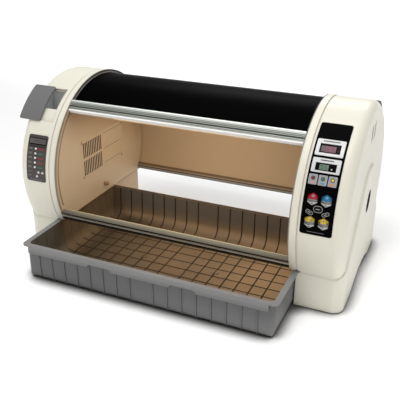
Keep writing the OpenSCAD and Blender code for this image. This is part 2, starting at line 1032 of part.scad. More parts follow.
// Slice of a tub from front to back, of thickness t about Y = 0
module tub_cross(w, h, lean, r, t) {
    rotate([90, 0, 0])
        linear_extrude(t, center = true)
            tub_2d(w, h, lean, r);
}

module tub(w, l, h, lean, r, corner) {
    intersection() {
        tub_slice(l, h, lean, r, w);
        tub_cross(w, h, lean, r, l);
        linear_extrude(h)
            round_rect(w, l, corner);
    }
}

module tray_ribs() {
    for (x = rib_xs)
        translate([x, 0, -rib_h])
            tub_slice(tub_l + 2 * rib_h, tray_h + rib_h - flange_t, draft, keel_r + rib_h, rib_w);
}

module tray_lines(w, l, h) {
    for (x = rib_xs)
        translate([x, 0, tray_t - line_d])
            tub_slice(l + 2 * line_d, h + line_d, draft, cove_r + line_d, line_w);
    for (i = [0 : line_count])
        translate([0, (i - line_count / 2) * rib_pitch, tray_t - line_d])
            tub_cross(w + 2 * line_d, h + line_d, draft, cove_r + line_d, line_w);
}

// Lip along the front, hanging from the rim, with two finger scallops
module tray_lip() {
    w = 2 * (tray_half - lip_in);
    translate([0, -tray_l / 2 + lip_t, tray_h])
        rotate([90, 0, 0])
            linear_extrude(lip_t)
                difference() {
                    translate([0, -lip_h])
                        round_rect(w, 2 * lip_h, lip_r);
                    translate([-w, 0])
                        square([2 * w, lip_h + over]);
                    translate([-w, -3 * lip_h])
                        square([2 * w, 2 * lip_h]);
                    for (s = [-1, 1])
                        translate([s * scallop_share * tray_half, -lip_h])
                            round_rect(scallop_w, 2 * scallop_h, lip_r);
                }
}

module tray() {
    in_w = tub_w - 2 * tray_wall;
    in_l = tub_l - 2 * tray_wall;
    in_h = tray_h - tray_t;
    color("gray")
        translate([0, tray_mid, tray_z]) {
            difference() {
                union() {
                    tub(tub_w, tub_l, tray_h, draft, keel_r, tray_r);
                    tray_ribs();
                    translate([0, 0, tray_h - flange_t])
                        linear_extrude(flange_t)
                            round_rect(2 * tray_half, tray_l, flange_r);
                    tray_lip();
                }
                translate([0, 0, tray_t])
                    tub(in_w, in_l, in_h + over, draft, cove_r, tray_r - tray_wall);
                tray_lines(in_w, in_l, in_h);
            }
            for (s = [-1, 1])
                translate([s * boss_share * tray_half, 0, tray_t - line_d])
                    cylinder(h = boss_h + line_d, r = boss_r);
        }
}

module rubber_feet() {
    color("black") {
        at_feet(right_w)
            cylinder(h = foot_h + foot_pocket, r = foot_r);
        mirror([1, 0, 0])
            at_feet(left_w)
                cylinder(h = foot_h + foot_pocket, r = foot_r);
    }
}

// Cup of a hand slot: a rim let into the side, and a blind pocket behind it
module hand_cup(w) {
    x1 = half + w + skirt_t;
    intersection() {
        difference() {
            union() {
                hand_slot(w, -fit_gap, slot_depth);
                hand_slot(w, cup_rim - fit_gap, cup_t);
            }
            translate([-cup_t, 0, 0])
                hand_slot(w, -fit_gap - cup_t, slot_depth - 2 * cup_t);
            hand_slot(w, -fit_gap - cup_t, slot_depth - cup_t);
        }
        translate([0, -drum_r, 0])
            cube([x1, 2 * drum_r, 2 * drum_r]);
    }
}

module hand_cups() {
    color("black") {
        hand_cup(right_w);
        mirror([1, 0, 0])
            hand_cup(left_w);
    }
}

// Sliding lids, shown slid open

// A lid on the front of the right drum: a curved plate with two hooked rails below
module lid(out) {
    x0 = lid_x + out;
    rail_x = x0 + lid_lap + slide_gap;
    rail_a = arc_deg(lid_rail_w, well_r);
    hook_a = arc_deg(lid_hook, well_r);
    low_a = well_a0 + arc_deg(slide_gap, well_r);
    high_a = well_a1 - arc_deg(slide_gap, well_r);
    r0 = well_r + slide_gap;
    round_band(x0, x0 + lid_w, lid_r0, lid_r0 + lid_t, lid_a0, lid_a1, lid_r);
    band(rail_x, rail_x + lid_rail_l, r0, lid_r0, low_a, low_a + rail_a);
    band(rail_x, rail_x + lid_rail_l, r0, lid_r0, high_a - rail_a, high_a);
    band(rail_x, rail_x + lid_rail_l, r0, r0 + lid_hook_t, low_a - hook_a, low_a + rail_a);
    band(rail_x, rail_x + lid_rail_l, r0, r0 + lid_hook_t, high_a - rail_a, high_a + hook_a);
}

module water_lid() {
    color("gray")
        mirror([1, 0, 0])
            lid(left_lid_out);
}

module rear_lid() {
    color("gray")
        mirror([0, 1, 0])
            lid(rear_lid_out);
}

// Tank under a filling port, cut to the round of the pad above it
module tank() {
    x0 = half + wall_t;
    x1 = half + well_x + port_x + port_w + tank_t + tank_side;
    y0 = -pad_r * cos(port_a0) - tank_t - tank_side;
    y1 = -pad_r * cos(well_a1) + tank_t + tank_side;
    z1 = axis_z + pad_r * sin(port_a0);
    intersection() {
        translate([x0, y0, z1 - tank_h])
            difference() {
                cube([x1 - x0, y1 - y0, 2 * tank_h]);
                translate([tank_t, tank_t, tank_t])
                    cube([x1 - x0 - 2 * tank_t, y1 - y0 - 2 * tank_t, 2 * tank_h]);
            }
        translate([0, 0, axis_z])
            rotate([0, 90, 0])
                cylinder(h = half + right_w, r = min(pad_r, ledge_r) - tank_gap);
    }
}

module water_tank() {
    color("whitesmoke")
        mirror([1, 0, 0])
            tank();
}

module rear_tank() {
    color("whitesmoke")
        mirror([0, 1, 0])
            tank();
}

module mist_maker() {
    color("slategray")
        translate([-half - well_x - port_x - port_w / 2,
                -pad_r * (cos(port_a0) + cos(well_a1)) / 2,
                axis_z + pad_r * sin(port_a0) - tank_h - mist_t])
            cylinder(h = mist_t, r = mist_r);
}

// Panels and keys

module right_recess() {
    round_band(right_x(0) - panel_gap, right_x(1) + panel_gap, panel_r0, drum_r + over,
        right_a(0) - arc_deg(panel_gap, body_r), right_a(1) + arc_deg(panel_gap, body_r), panel_r);
}

module left_recess() {
    round_band(left_x(0) - panel_gap, left_x(1) + panel_gap, panel_r0, drum_r + over,
        left_a(0) - arc_deg(panel_gap, body_r), left_a(1) + arc_deg(panel_gap, body_r), panel_r);
}

// Outlines of the keys, grown by g for their holes
module hex_2d(g) {
    rotate(90)
        circle(r = (hex_w / 2 + g) / cos(30), $fn = 6);
}

module oval_2d(g) {
    stadium(oval_w + 2 * g, oval_h + 2 * g);
}

module slant_2d(lean, g) {
    rotate(lean)
        stadium(slant_w + 2 * g, slant_h + 2 * g);
}

// A straight plug on the drum between two radii
module plug(x, a, r0, r1) {
    on_drum(x, a)
        translate([0, 0, r0])
            linear_extrude(r1 - r0)
                children();
}

module right_plug(shares, r0, r1) {
    plug(right_x(shares[0]), right_a(shares[1]), r0, r1)
        children();
}

module left_plug(shares, r0, r1) {
    plug(left_x(shares[0]), left_a(shares[1]), r0, r1)
        children();
}

// All plugs of the right panel's keys, grown by g: the holes that the keys run in
module right_keys(g, r0, r1) {
    for (s = [heat_shares, mist_shares, fan_shares, light_shares])
        right_plug(s, r0, r1)
            hex_2d(g);
    right_plug(set_shares, r0, r1)
        oval_2d(g);
    right_plug(down_shares, r0, r1)
        slant_2d(-slant_lean, g);
    right_plug(up_shares, r0, r1)
        slant_2d(slant_lean, g);
}

module left_keys(g, r0, r1) {
    for (s = [mode_shares, less_shares, more_shares])
        left_plug(s, r0, r1)
            circle(button_r + g);
}

module right_panel() {
    color("black")
        difference() {
            round_band(right_x(0), right_x(1), panel_r0, panel_r1, right_a(0), right_a(1), panel_r);
            right_keys(key_gap, panel_r0 - over, panel_r1 + over);
        }
}

module left_panel() {
    color("dimgray")
        difference() {
            round_band(left_x(0), left_x(1), panel_r0, panel_r1, left_a(0), left_a(1), panel_r);
            left_keys(key_gap, panel_r0 - over, panel_r1 + over);
        }
}

// White frame round a display window, on the right panel
module bezel(shares, window_shares) {
    x = right_x(mid_share);
    difference() {
        round_band(x - bezel_w / 2, x + bezel_w / 2, panel_r1, panel_r1 + bezel_t,
            right_a(shares[0]), right_a(shares[1]), bezel_r);
        band(x - window_w / 2, x + window_w / 2, panel_r1 - over, panel_r1 + bezel_t + over,
            right_a(window_shares[0]), right_a(window_shares[1]));
    }
}

module screen(shares) {
    x = right_x(mid_share);
    gap_a = arc_deg(fit_gap, body_r);
    band(x - window_w / 2 + fit_gap, x + window_w / 2 - fit_gap, panel_r1, panel_r1 + screen_t,
        right_a(shares[0]) + gap_a, right_a(shares[1]) - gap_a);
}

module temperature_bezel() {
    color("white")
        bezel(warm_shares, warm_window_shares);
}

module temperature_display() {
    color("rosybrown")
        screen(warm_window_shares);
}

module humidity_bezel() {
    color("white")
        bezel(damp_shares, damp_window_shares);
}

module humidity_display() {
    color("darkseagreen")
        screen(damp_window_shares);
}

module indicator_tiles() {
    color("darkgray")
        for (s = tile_x_shares)
            difference() {
                round_band(right_x(s) - tile_w / 2, right_x(s) + tile_w / 2, panel_r1, panel_r1 + tile_t,
                    right_a(tile_shares[0]), right_a(tile_shares[1]), bezel_r);
                right_plug([s, lamp_share], panel_r1 - over, panel_r1 + tile_t + over)
                    circle(lamp_r + fit_gap);
            }
}

// Small lamp with a domed top, standing on the panel
module lamp(x, a, r, h) {
    on_drum(x, a)
        translate([0, 0, panel_r1]) {
            cylinder(h = h, r = r);
            intersection() {
                translate([0, 0, h])
                    sphere(r);
                translate([0, 0, h])
                    cylinder(h = r, r = r);
            }
        }
}

module tile_lamp(i) {
    lamp(right_x(tile_x_shares[i]), right_a(lamp_share), lamp_r, tile_t);
}

module red_lamp() {
    color("firebrick")
        tile_lamp(0);
}

module green_lamp() {
    color("seagreen")
        tile_lamp(1);
}

module amber_lamp() {
    color("gold")
        tile_lamp(2);
}

module left_display() {
    color("gray")
        band(left_x(screen_x_shares[0]), left_x(screen_x_shares[1]), panel_r1, panel_r1 + screen_t,
            left_a(screen_shares[0]), left_a(screen_shares[1]));
}

module left_lamps() {
    color("white")
        for (s = dot_shares)
            lamp(left_x(dot_x_share), left_a(s), dot_r, screen_t);
}

// A key of the right panel: its outline, drawn out to the panel and domed
module right_key(shares) {
    intersection() {
        right_plug(shares, key_r0, key_r1)
            children();
        on_drum(right_x(shares[0]), right_a(shares[1]))
            translate([0, 0, key_r1 - key_dome])
                sphere(key_dome);
    }
}

module left_key(shares) {
    left_plug(shares, key_r0, panel_r1 + key_travel + panel_proud)
        circle(button_r);
}

module heat_key() {
    color("crimson")
        right_key(heat_shares)
            hex_2d(0);
}

module mist_key() {
    color("steelblue")
        right_key(mist_shares)
            hex_2d(0);
}

module fan_key() {
    color("goldenrod")
        right_key(fan_shares)
            hex_2d(0);
}

module light_key() {
    color("goldenrod")
        right_key(light_shares)
            hex_2d(0);
}

module set_key() {
    color("black")
        right_key(set_shares)
            oval_2d(0);
}

module down_key() {
    color("black")
        right_key(down_shares)
            slant_2d(-slant_lean, 0);
}

module up_key() {
    color("black")
        right_key(up_shares)
            slant_2d(slant_lean, 0);
}

module mode_key() {
    color("white")
        left_key(mode_shares);
}

module less_key() {
    color("white")
        left_key(less_shares);
}

module more_key() {
    color("white")
        left_key(more_shares);
}

// Air unit behind the left inner wall: heater block, fan frame and rotor

// Places children on the back of the left inner wall, local Z away from the chamber
module at_fan(depth) {
    translate([-half - wall_t - depth, fan_y, fan_z])
        rotate([0, -90, 0])
            children();
}

module heater() {
    in_w = fan_w - 2 * heater_rim;
    pitch = in_w / fin_count;
    color("silver")
        at_fan(0)
            difference() {
                translate([-fan_w / 2, -fan_w / 2, 0])
                    cube([fan_w, fan_w, heater_t]);
                for (i = [0 : fin_count - 1])
                    translate([(i - (fin_count - 1) / 2) * pitch, 0, heater_t / 2])
                        cube([fin_gap_share * pitch, in_w, heater_t + 2 * over], center = true);
            }
}

module fan_frame() {
    color("dimgray")
        at_fan(heater_t)
            difference() {
                union() {
                    difference() {
                        translate([-fan_w / 2, -fan_w / 2, 0])
                            cube([fan_w, fan_w, fan_t]);
                        translate([0, 0, -over])
                            cylinder(h = fan_t + 2 * over, r = fan_bore_r);
                    }
                    translate([0, 0, fan_t - strut_t - strut_in]) {
                        cylinder(h = strut_t, r = hub_r);
                        for (a = [0 : 120 : 240])
                            rotate([0, 0, a + strut_turn])
                                translate([0, -strut_w / 2, 0])
                                    cube([fan_bore_r + strut_in, strut_w, strut_t]);
                    }
                }
                translate([0, 0, -over])
                    cylinder(h = fan_t + 2 * over, r = shaft_r + shaft_gap);
            }
}

module fan_rotor() {
    rotor_t = rotor_t_share * fan_t;
    color("black")
        at_fan(heater_t)
            translate([0, 0, fan_t - strut_t - strut_in - slide_gap - rotor_t]) {
                cylinder(h = rotor_t, r = hub_r);
                cylinder(h = rotor_t + slide_gap + strut_t, r = shaft_r);
                for (i = [0 : blade_count - 1])
                    rotate([0, 0, i * 360 / blade_count])
                        intersection() {
                            translate([hub_r - blade_root, 0, rotor_t / 2])
                                rotate([blade_lean, 0, 0])
                                    translate([0, -rotor_t, -blade_t / 2])
                                        cube([rotor_r, 2 * rotor_t, blade_t]);
                            translate([0, 0, blade_in])
                                cylinder(h = rotor_t - 2 * blade_in, r = rotor_r);
                        }
            }
}

// Electronics behind the right inner wall

module control_board() {
    color("darkgreen")
        translate([half + wall_t + standoff_l, board_y, board_z]) {
            cube([board_t, board_w, board_h]);
            translate([board_t, board_w * (1 - chip_share) / 2, board_h * (1 - chip_share) / 2])
                cube([chip_t, board_w * chip_share, board_h * chip_share]);
        }
}

module board_standoffs() {
    color("goldenrod")
        for (y = [board_y + standoff_in, board_y + board_w - standoff_in])
            for (z = [board_z + standoff_in, board_z + board_h - standoff_in])
                translate([half + wall_t, y, z])
                    rotate([0, 90, 0])
                        cylinder(h = standoff_l, r = standoff_r);
}

module power_supply() {
    pitch = supply_w / (supply_slots + 1);
    color("silver")
        translate([half + wall_t, supply_y, supply_z])
            difference() {
                cube([supply_t, supply_w, supply_h]);
                for (i = [1 : supply_slots])
                    translate([supply_t - supply_slot_d, i * pitch - supply_slot_w / 2, supply_h / 4])
                        cube([supply_slot_d + over, supply_slot_w, supply_h / 2]);
            }
}

// Mains inlet and switch in the pedestal's back

function back_x(s) = bay_half + s * (half + right_w - ped_r - bay_half);

// Places children on the back: local Z points backwards, local X to the cabinet's left, local Y up
module at_back(share) {
    translate([back_x(share), back_y, inlet_z])
        rotate([90, 0, 180])
            children();
}

// Pockets for the two fittings, deep enough to hold all of each body
module back_openings() {
    at_back(inlet_x_share)
        fitting_pocket(inlet_w, inlet_h, inlet_depth);
    at_back(switch_x_share)
        fitting_pocket(switch_w, switch_h, switch_depth);
}

module fitting_pocket(w, h, depth) {
    translate([0, 0, -depth - fit_gap])
        linear_extrude(depth + fit_gap + 2 * shell_t)
            square([w + 2 * fit_gap, h + 2 * fit_gap], center = true);
}

// Box of a panel-mounted fitting: a rim on the wall and a body through it
module fitting_box(w, h, depth) {
    linear_extrude(inlet_rim_t)
        square([w + 2 * inlet_rim, h + 2 * inlet_rim], center = true);
    translate([0, 0, -depth])
        linear_extrude(depth)
            square([w, h], center = true);
}

module power_inlet() {
    color("black")
        at_back(inlet_x_share)
            difference() {
                fitting_box(inlet_w, inlet_h, inlet_depth);
                translate([0, 0, inlet_t - inlet_depth])
                    linear_extrude(inlet_depth + over)
                        square([inlet_w - 2 * inlet_t, inlet_h - 2 * inlet_t], center = true);
            }
}

module inlet_pins() {
    color("silver")
        at_back(inlet_x_share)
            translate([0, 0, inlet_t - inlet_depth])
                for (p = [[-pin_pitch, -pin_rise], [0, pin_rise], [pin_pitch, -pin_rise]])
                    translate([p[0], p[1], 0])
                        linear_extrude(pin_l)
                            square([pin_w, pin_h], center = true);
}

module switch_frame() {
    in_w = switch_w - 2 * inlet_t;
    in_h = switch_h - 2 * inlet_t;
    color("black")
        at_back(switch_x_share)
            difference() {
                fitting_box(switch_w, switch_h, switch_depth);
                translate([0, 0, inlet_t - switch_depth])
                    linear_extrude(switch_depth + inlet_rim_t + over)
                        square([in_w, in_h], center = true);
                rotate([0, 90, 0])
                    cylinder(h = switch_w, r = rocker_pin_r + shaft_gap, center = true);
            }
}

// Rocker that tips about a pin across its frame, with a hollow worn into its face
module power_rocker() {
    w = switch_w - 2 * inlet_t - 2 * rocker_gap;
    h = switch_h - 2 * inlet_t - 2 * rocker_gap;
    hollow_r = h * h / (8 * rocker_rise) + rocker_rise;
    color("firebrick")
        at_back(switch_x_share)
            rotate([rocker_tilt, 0, 0]) {
                difference() {
                    rotate([0, 90, 0])
                        linear_extrude(w, center = true)
                            intersection() {
                                circle(h / 2);
                                translate([-2 * rocker_rise, -h])
                                    square([3 * rocker_rise, 2 * h]);
                            }
                    translate([0, 0, rocker_rise / 2 + hollow_r])
                        rotate([0, 90, 0])
                            cylinder(h = w + 2 * over, r = hollow_r, center = true);
                }
                rotate([0, 90, 0])
                    cylinder(h = switch_w - 2 * inlet_t + inlet_t, r = rocker_pin_r, center = true);
            }
}

// Puts the origin under the middle of the object, on the floor
module placed() {
    translate([frame_x, frame_y, 0])
        children();
}

placed() left_housing();
placed() right_housing();
placed() left_inner_wall();
placed() right_inner_wall();
placed() air_panel();
placed() air_panel_screws();
placed() top_cover();
placed() inner_liner();
placed() cover_rail();
placed() front_sill();
placed() rear_sill();
placed() edge_gaskets();
placed() edge_beads();
placed() rubber_feet();
placed() hand_cups();
placed() left_panel();
placed() left_display();
placed() left_lamps();
placed() right_panel();
placed() temperature_bezel();
placed() temperature_display();
placed() humidity_bezel();
placed() humidity_display();
placed() indicator_tiles();
placed() red_lamp();
placed() green_lamp();
placed() amber_lamp();
placed() heater();
placed() fan_frame();
placed() water_tank();
placed() mist_maker();
placed() rear_tank();
placed() control_board();
placed() board_standoffs();
placed() power_supply();
placed() power_inlet();
placed() inlet_pins();
placed() switch_frame();
placed() temperature_probe();
placed() door_pane();
placed() door_handle();
placed() door_seal();
placed() tray();
placed() water_lid();
placed() rear_lid();
placed() heat_key();
placed() mist_key();
placed() fan_key();
placed() light_key();
placed() set_key();
placed() down_key();
placed() up_key();
placed() mode_key();
placed() less_key();
placed() more_key();
placed() fan_rotor();
placed() power_rocker();
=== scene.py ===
# %% [markdown]
# A brooder cabinet for young birds: a chamber between two drum-shaped housings, with a clear curved
# door, a pull-out tray and a control panel on each side. The solids come from the packed model and
# stay where they are. This script dresses them: it gives each its finish, adds the printed legends,
# the digits and the lamp rings, and sets the light and the camera.

# %% Load the packed solids
import math

import bmesh
import bpy
from mathutils import Matrix, Vector


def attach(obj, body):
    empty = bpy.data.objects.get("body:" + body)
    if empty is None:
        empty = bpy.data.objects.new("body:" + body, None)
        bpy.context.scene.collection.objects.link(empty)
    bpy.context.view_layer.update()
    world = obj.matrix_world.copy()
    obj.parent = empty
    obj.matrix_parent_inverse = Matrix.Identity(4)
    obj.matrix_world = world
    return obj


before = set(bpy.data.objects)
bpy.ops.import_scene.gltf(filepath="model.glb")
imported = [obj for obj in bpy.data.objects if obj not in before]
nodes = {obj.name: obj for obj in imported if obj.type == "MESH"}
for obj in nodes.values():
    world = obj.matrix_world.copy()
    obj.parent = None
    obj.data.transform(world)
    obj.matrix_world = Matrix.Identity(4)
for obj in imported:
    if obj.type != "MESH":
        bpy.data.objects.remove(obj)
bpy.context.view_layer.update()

# %% [markdown]
# Nearly everything on the housings follows a cylinder, the drum, whose axis lies along X. A place on
# it is easiest to give as a distance along X and an angle up from the front. One small helper turns
# the two into a point and a turned frame, so that no later step has to repeat the trigonometry. Pieces
# of the right panel are placed by their share of its width and height.

# %% Places on the drum
MM = 0.001
AXIS_Y, AXIS_Z = 52 * MM, 168 * MM
BODY_R = 195 * MM
PANEL_TOP = BODY_R + 0.4 * MM
RIGHT_PANEL_X, RIGHT_PANEL_W, RIGHT_PANEL_ARC = 268.5 * MM, 57.5 * MM, 213 * MM
RIGHT_PANEL_FOOT = 0.3


def on_drum(x, degrees, radius):
    """Matrix that puts a flat piece on the drum: its Z points outwards and its Y up the drum."""
    turn = Matrix.Rotation(math.radians(90 - degrees), 4, "X")
    return Matrix.Translation((x, AXIS_Y, AXIS_Z)) @ turn @ Matrix.Translation((0, 0, radius))


def right_x(share):
    return RIGHT_PANEL_X + share * RIGHT_PANEL_W


def right_deg(share):
    return RIGHT_PANEL_FOOT + share * math.degrees(RIGHT_PANEL_ARC / BODY_R)


print("panel corner:", [round(v, 4) for v in on_drum(right_x(0), right_deg(0), PANEL_TOP).translation])

# %% [markdown]
# Blender's shaders are graphs. Written node by node they are long and hard to read, so one class wraps
# a socket and lets Python's arithmetic add the Math nodes. Comparing two values gives 1 or 0, so a
# product of comparisons is a mask, and the bar between two masks joins them.

# %% Shader maths as Python


class Sock:
    """An output socket that takes part in arithmetic."""

    def __init__(self, finish, socket):
        self.finish = finish
        self.socket = socket

    def maths(self, operation, a, b=0.0):
        return self.finish.node("ShaderNodeMath", {"operation": operation}, {0: a, 1: b})

    def __add__(self, other):
        return self.maths("ADD", self, other)

    __radd__ = __add__

    def __sub__(self, other):
        return self.maths("SUBTRACT", self, other)

    def __rsub__(self, other):
        return self.maths("SUBTRACT", other, self)

    def __mul__(self, other):
        return self.maths("MULTIPLY", self, other)

    __rmul__ = __mul__

    def __truediv__(self, other):
        return self.maths("DIVIDE", self, other)

    def __gt__(self, other):
        return self.maths("GREATER_THAN", self, other)

    def __lt__(self, other):
        return self.maths("LESS_THAN", self, other)

    def __abs__(self):
        return self.maths("ABSOLUTE", self)

    def __or__(self, other):
        return self.maths("MAXIMUM", self, other)


def near(value, centre, half):
    """1 where a value lies within half of a centre, 0 elsewhere."""
    return abs(value - centre) < half


def between(value, low, high):
    """1 where a value lies between two limits, 0 elsewhere."""
    return (value > low) * (value < high)


def length_of(a, b):
    """Length of the hypotenuse over two sides."""
    return a.maths("SQRT", a * a + b * b)


def around(level, noise, spread):
    """A level that a noise moves up and down."""
    return level + (noise - 0.5) * spread


print("methods of a socket:", sum(callable(v) for v in vars(Sock).values()))

# %% [markdown]
# A second class holds one finish. It starts a material and makes any other node from its type, its
# settings and its inputs. The places that most finishes ask for have a method each: where a point lies,
# how far up the drum, whether it is on a rubbed edge, and whether it is out in the open or in a gap.
# Object coordinates are used throughout, because they stay with a piece when it moves.

# %% Finishes
EDGE_SAMPLES, GAP_SAMPLES = 4, 8
RUBBED_FROM, RUBBED_TO = 0.02, 0.2


class Finish:
    """One material: a Principled shader and the nodes that feed it."""

    def __init__(self, name, **fixed):
        self.material = bpy.data.materials.new(name)
        self.material.use_nodes = True
        self.tree = self.material.node_tree
        self.shader = next(n for n in self.tree.nodes if n.type == "BSDF_PRINCIPLED")
        self.made = {}
        self.feed(**fixed)

    def node(self, kind, settings=None, values=None, out=0):
        new = self.tree.nodes.new(kind)
        for key, value in (settings or {}).items():
            setattr(new, key, value)
        for key, value in (values or {}).items():
            self.put(new.inputs[key], value)
        return Sock(self, new.outputs[out])

    def put(self, socket, value):
        if isinstance(value, Sock):
            self.tree.links.new(value.socket, socket)
        elif socket.type == "RGBA" and len(value) == 3:
            socket.default_value = (*value, 1.0)
        else:
            socket.default_value = value

    def feed(self, **values):
        """Set or link the shader's inputs: Base_Color stands for Base Color."""
        for name, value in values.items():
            self.put(self.shader.inputs[name.replace("_", " ")], value)
        return self

    def place(self):
        """Object coordinates, as three values."""
        if "place" not in self.made:
            self.made["where"] = self.node("ShaderNodeTexCoord", out=3)
            split = self.node("ShaderNodeSeparateXYZ", None, {0: self.made["where"]})
            self.made["place"] = [Sock(self, o) for o in split.socket.node.outputs]
        return self.made["place"]

    def drum_angle(self):
        """Angle up the drum from the front, in degrees."""
        if "angle" not in self.made:
            _, y, z = self.place()
            turn = z.maths("ARCTAN2", z - AXIS_Z, AXIS_Y - y)
            self.made["angle"] = turn * (180 / math.pi)
        return self.made["angle"]

    def drum_radius(self):
        """Distance from the drum's axis."""
        _, y, z = self.place()
        return length_of(y - AXIS_Y, z - AXIS_Z)

    def noise(self, scale, detail=2.0, stretch=None):
        self.place()
        where = self.made["where"]
        if stretch:
            where = self.node("ShaderNodeMapping", None, {"Vector": where, "Scale": stretch})
        return self.node("ShaderNodeTexNoise", None, {"Vector": where, "Scale": scale, "Detail": detail})

    def mix(self, mask, a, b):
        return self.node("ShaderNodeMix", {"data_type": "RGBA"}, {0: mask, 6: a, 7: b}, out=2)

    def ramp(self, value, low, high):
        """Rises from 0 to 1 while a value goes from low to high."""
        return self.node("ShaderNodeMapRange", {"interpolation_type": "SMOOTHSTEP"},
                         {"Value": value, "From Min": low, "From Max": high})

    def normal(self):
        """The direction that the surface faces."""
        return self.node("ShaderNodeNewGeometry", out=1)

    def rounded(self, radius):
        """The normal that the surface would have with its edges rounded."""
        if "rounded" not in self.made:
            self.made["rounded"] = self.node("ShaderNodeBevel", {"samples": EDGE_SAMPLES}, {"Radius": radius})
        return self.made["rounded"]

    def wear(self, radius):
        """1 on edges that hands and cloths rub: where the rounded normal leaves the true one."""
        level = self.node("ShaderNodeVectorMath", {"operation": "DOT_PRODUCT"},
                          {0: self.rounded(radius), 1: self.normal()}, out=1)
        return self.ramp(1.0 - level, RUBBED_FROM, RUBBED_TO)

    def openness(self, reach, low, high, alone=True):
        """1 on open faces, 0 in gaps up to the reach: alone leaves other pieces out of account."""
        settings = {"samples": GAP_SAMPLES, "only_local": alone}
        seen = self.node("ShaderNodeAmbientOcclusion", settings, {"Distance": reach}, out=1)
        return self.ramp(seen, low, high)

    def bump(self, height, strength, distance, soften=0.0):
        """Fine relief on the surface, and edges that catch light as if rounded to a small radius."""
        values = {"Strength": strength, "Distance": distance, "Height": height}
        if soften:
            values["Normal"] = self.rounded(soften)
        return self.feed(Normal=self.node("ShaderNodeBump", None, values))


print("steps of a finish:", [k for k, v in vars(Finish).items() if callable(v) and not k.startswith("_")])

# %% [markdown]
# Colours are easiest to judge as the eight-bit values of a picture, but shaders work in linear light.
# This converts once, so that every finish below can be written in familiar numbers.

# %% Colours
RUB_WHITE, RUB_SHARE = 0.8, 0.25


def rgb(r, g, b):
    """Linear colour from eight-bit screen values, by the sRGB curve."""
    return tuple(((v / 255 + 0.055) / 1.055) ** 2.4 if v > 10 else v / 255 / 12.92 for v in (r, g, b))


def darker(colour, share):
    return tuple(v * share for v in colour)


def paler(colour):
    """The tone that rubbing leaves on an edge."""
    return tuple(v + (RUB_WHITE - v) * RUB_SHARE for v in colour)


print("cream in linear light:", [round(v, 3) for v in rgb(226, 223, 207)])

# %% [markdown]
# Most of the cabinet is moulded plastic. A real moulding is never one flat colour: the tint drifts a
# little over a hand's width, the gloss is uneven, and a fine spark-eroded grain breaks up highlights.
# One recipe with a few numbers covers all these mouldings, so their finishes belong together.

# %% Recipe for moulded plastic
DRIFT = {"scale": 9.0, "detail": 3.0}
SMUDGE = {"scale": 38.0, "detail": 4.0}
SMUDGE_SHARE, SMUDGE_TONE, WORN_SHARE = 0.12, 0.8, 0.3
GLOSS_BY_SMUDGE, GLOSS_BY_GRAIN, GRAIN_STRENGTH = 0.14, 0.06, 0.35


def moulded(name, colour, rough, drift=0.94, grain=900.0, depth=0.02 * MM, coat=0.0, soften=0.0):
    """drift: tone of the darkest patches. grain, depth: scale and height of the relief. soften: edges."""
    finish = Finish(name, Coat_Weight=coat, Coat_Roughness=0.15)
    fine = finish.noise(grain)
    smudge = finish.noise(**SMUDGE)
    tint = finish.mix(finish.noise(**DRIFT), darker(colour, drift), colour)
    tint = finish.mix(smudge * SMUDGE_SHARE, tint, darker(colour, SMUDGE_TONE))
    if soften:
        tint = finish.mix(finish.wear(soften) * smudge * WORN_SHARE, tint, paler(colour))
    gloss = around(around(rough, smudge, GLOSS_BY_SMUDGE), fine, GLOSS_BY_GRAIN)
    return finish.feed(Base_Color=tint, Roughness=gloss).bump(fine, GRAIN_STRENGTH, depth, soften)


lid_grey = moulded("lid_grey", rgb(107, 107, 107), 0.5, grain=1400.0, depth=0.04 * MM, soften=0.8 * MM)
dark_moulding = moulded("dark_moulding", rgb(38, 38, 38), 0.5, soften=0.4 * MM)
heater_black = moulded("heater_black", rgb(24, 23, 23), 0.6)
white_gloss = moulded("white_gloss", rgb(216, 216, 215), 0.3, coat=0.2, soften=0.4 * MM)
tank_white = moulded("tank_white", rgb(228, 231, 230), 0.3)
silver_tile = moulded("silver_tile", rgb(158, 159, 160), 0.45, soften=0.3 * MM)
board_green = moulded("board_green", rgb(30, 92, 58), 0.4)
probe_brown = moulded("probe_brown", rgb(160, 122, 94), 0.4)
mouldings = (lid_grey, dark_moulding, heater_black, white_gloss, tank_white, silver_tile, board_green,
             probe_brown)
print("moulded finishes:", [f.material.name for f in mouldings])

# %% [markdown]
# The housings are cream outside and tan where they face the chamber. The side faces of the tray's bay are
# tan too, and there the tan is painted warm light from the chamber. Two materials on one solid would need
# its faces sorted, so one material tells the zones apart: a face belongs to the bay if it is low, close to
# the middle and looks sideways. Little light gets into the air slits, so narrow gaps get painted shade, on
# the outer sides alone, because the seams along the rims stay pale.

# %% Cream housings
SHELL, CHAMBER_TAN_AND_WARM_LIGHT, SLIT_SHADE = rgb(231, 227, 211), rgb(196, 168, 136), rgb(52, 50, 46)
WORN_RADIUS = 4 * MM
INNER_X, INNER_TOP_Z = 250.6 * MM, 100 * MM
BAY_X, BAY_TOP_Z = 269.6 * MM, 77 * MM
OUTER_SIDE_X, SLIT_W = 332 * MM, 4 * MM
SIDEWAYS = 0.7


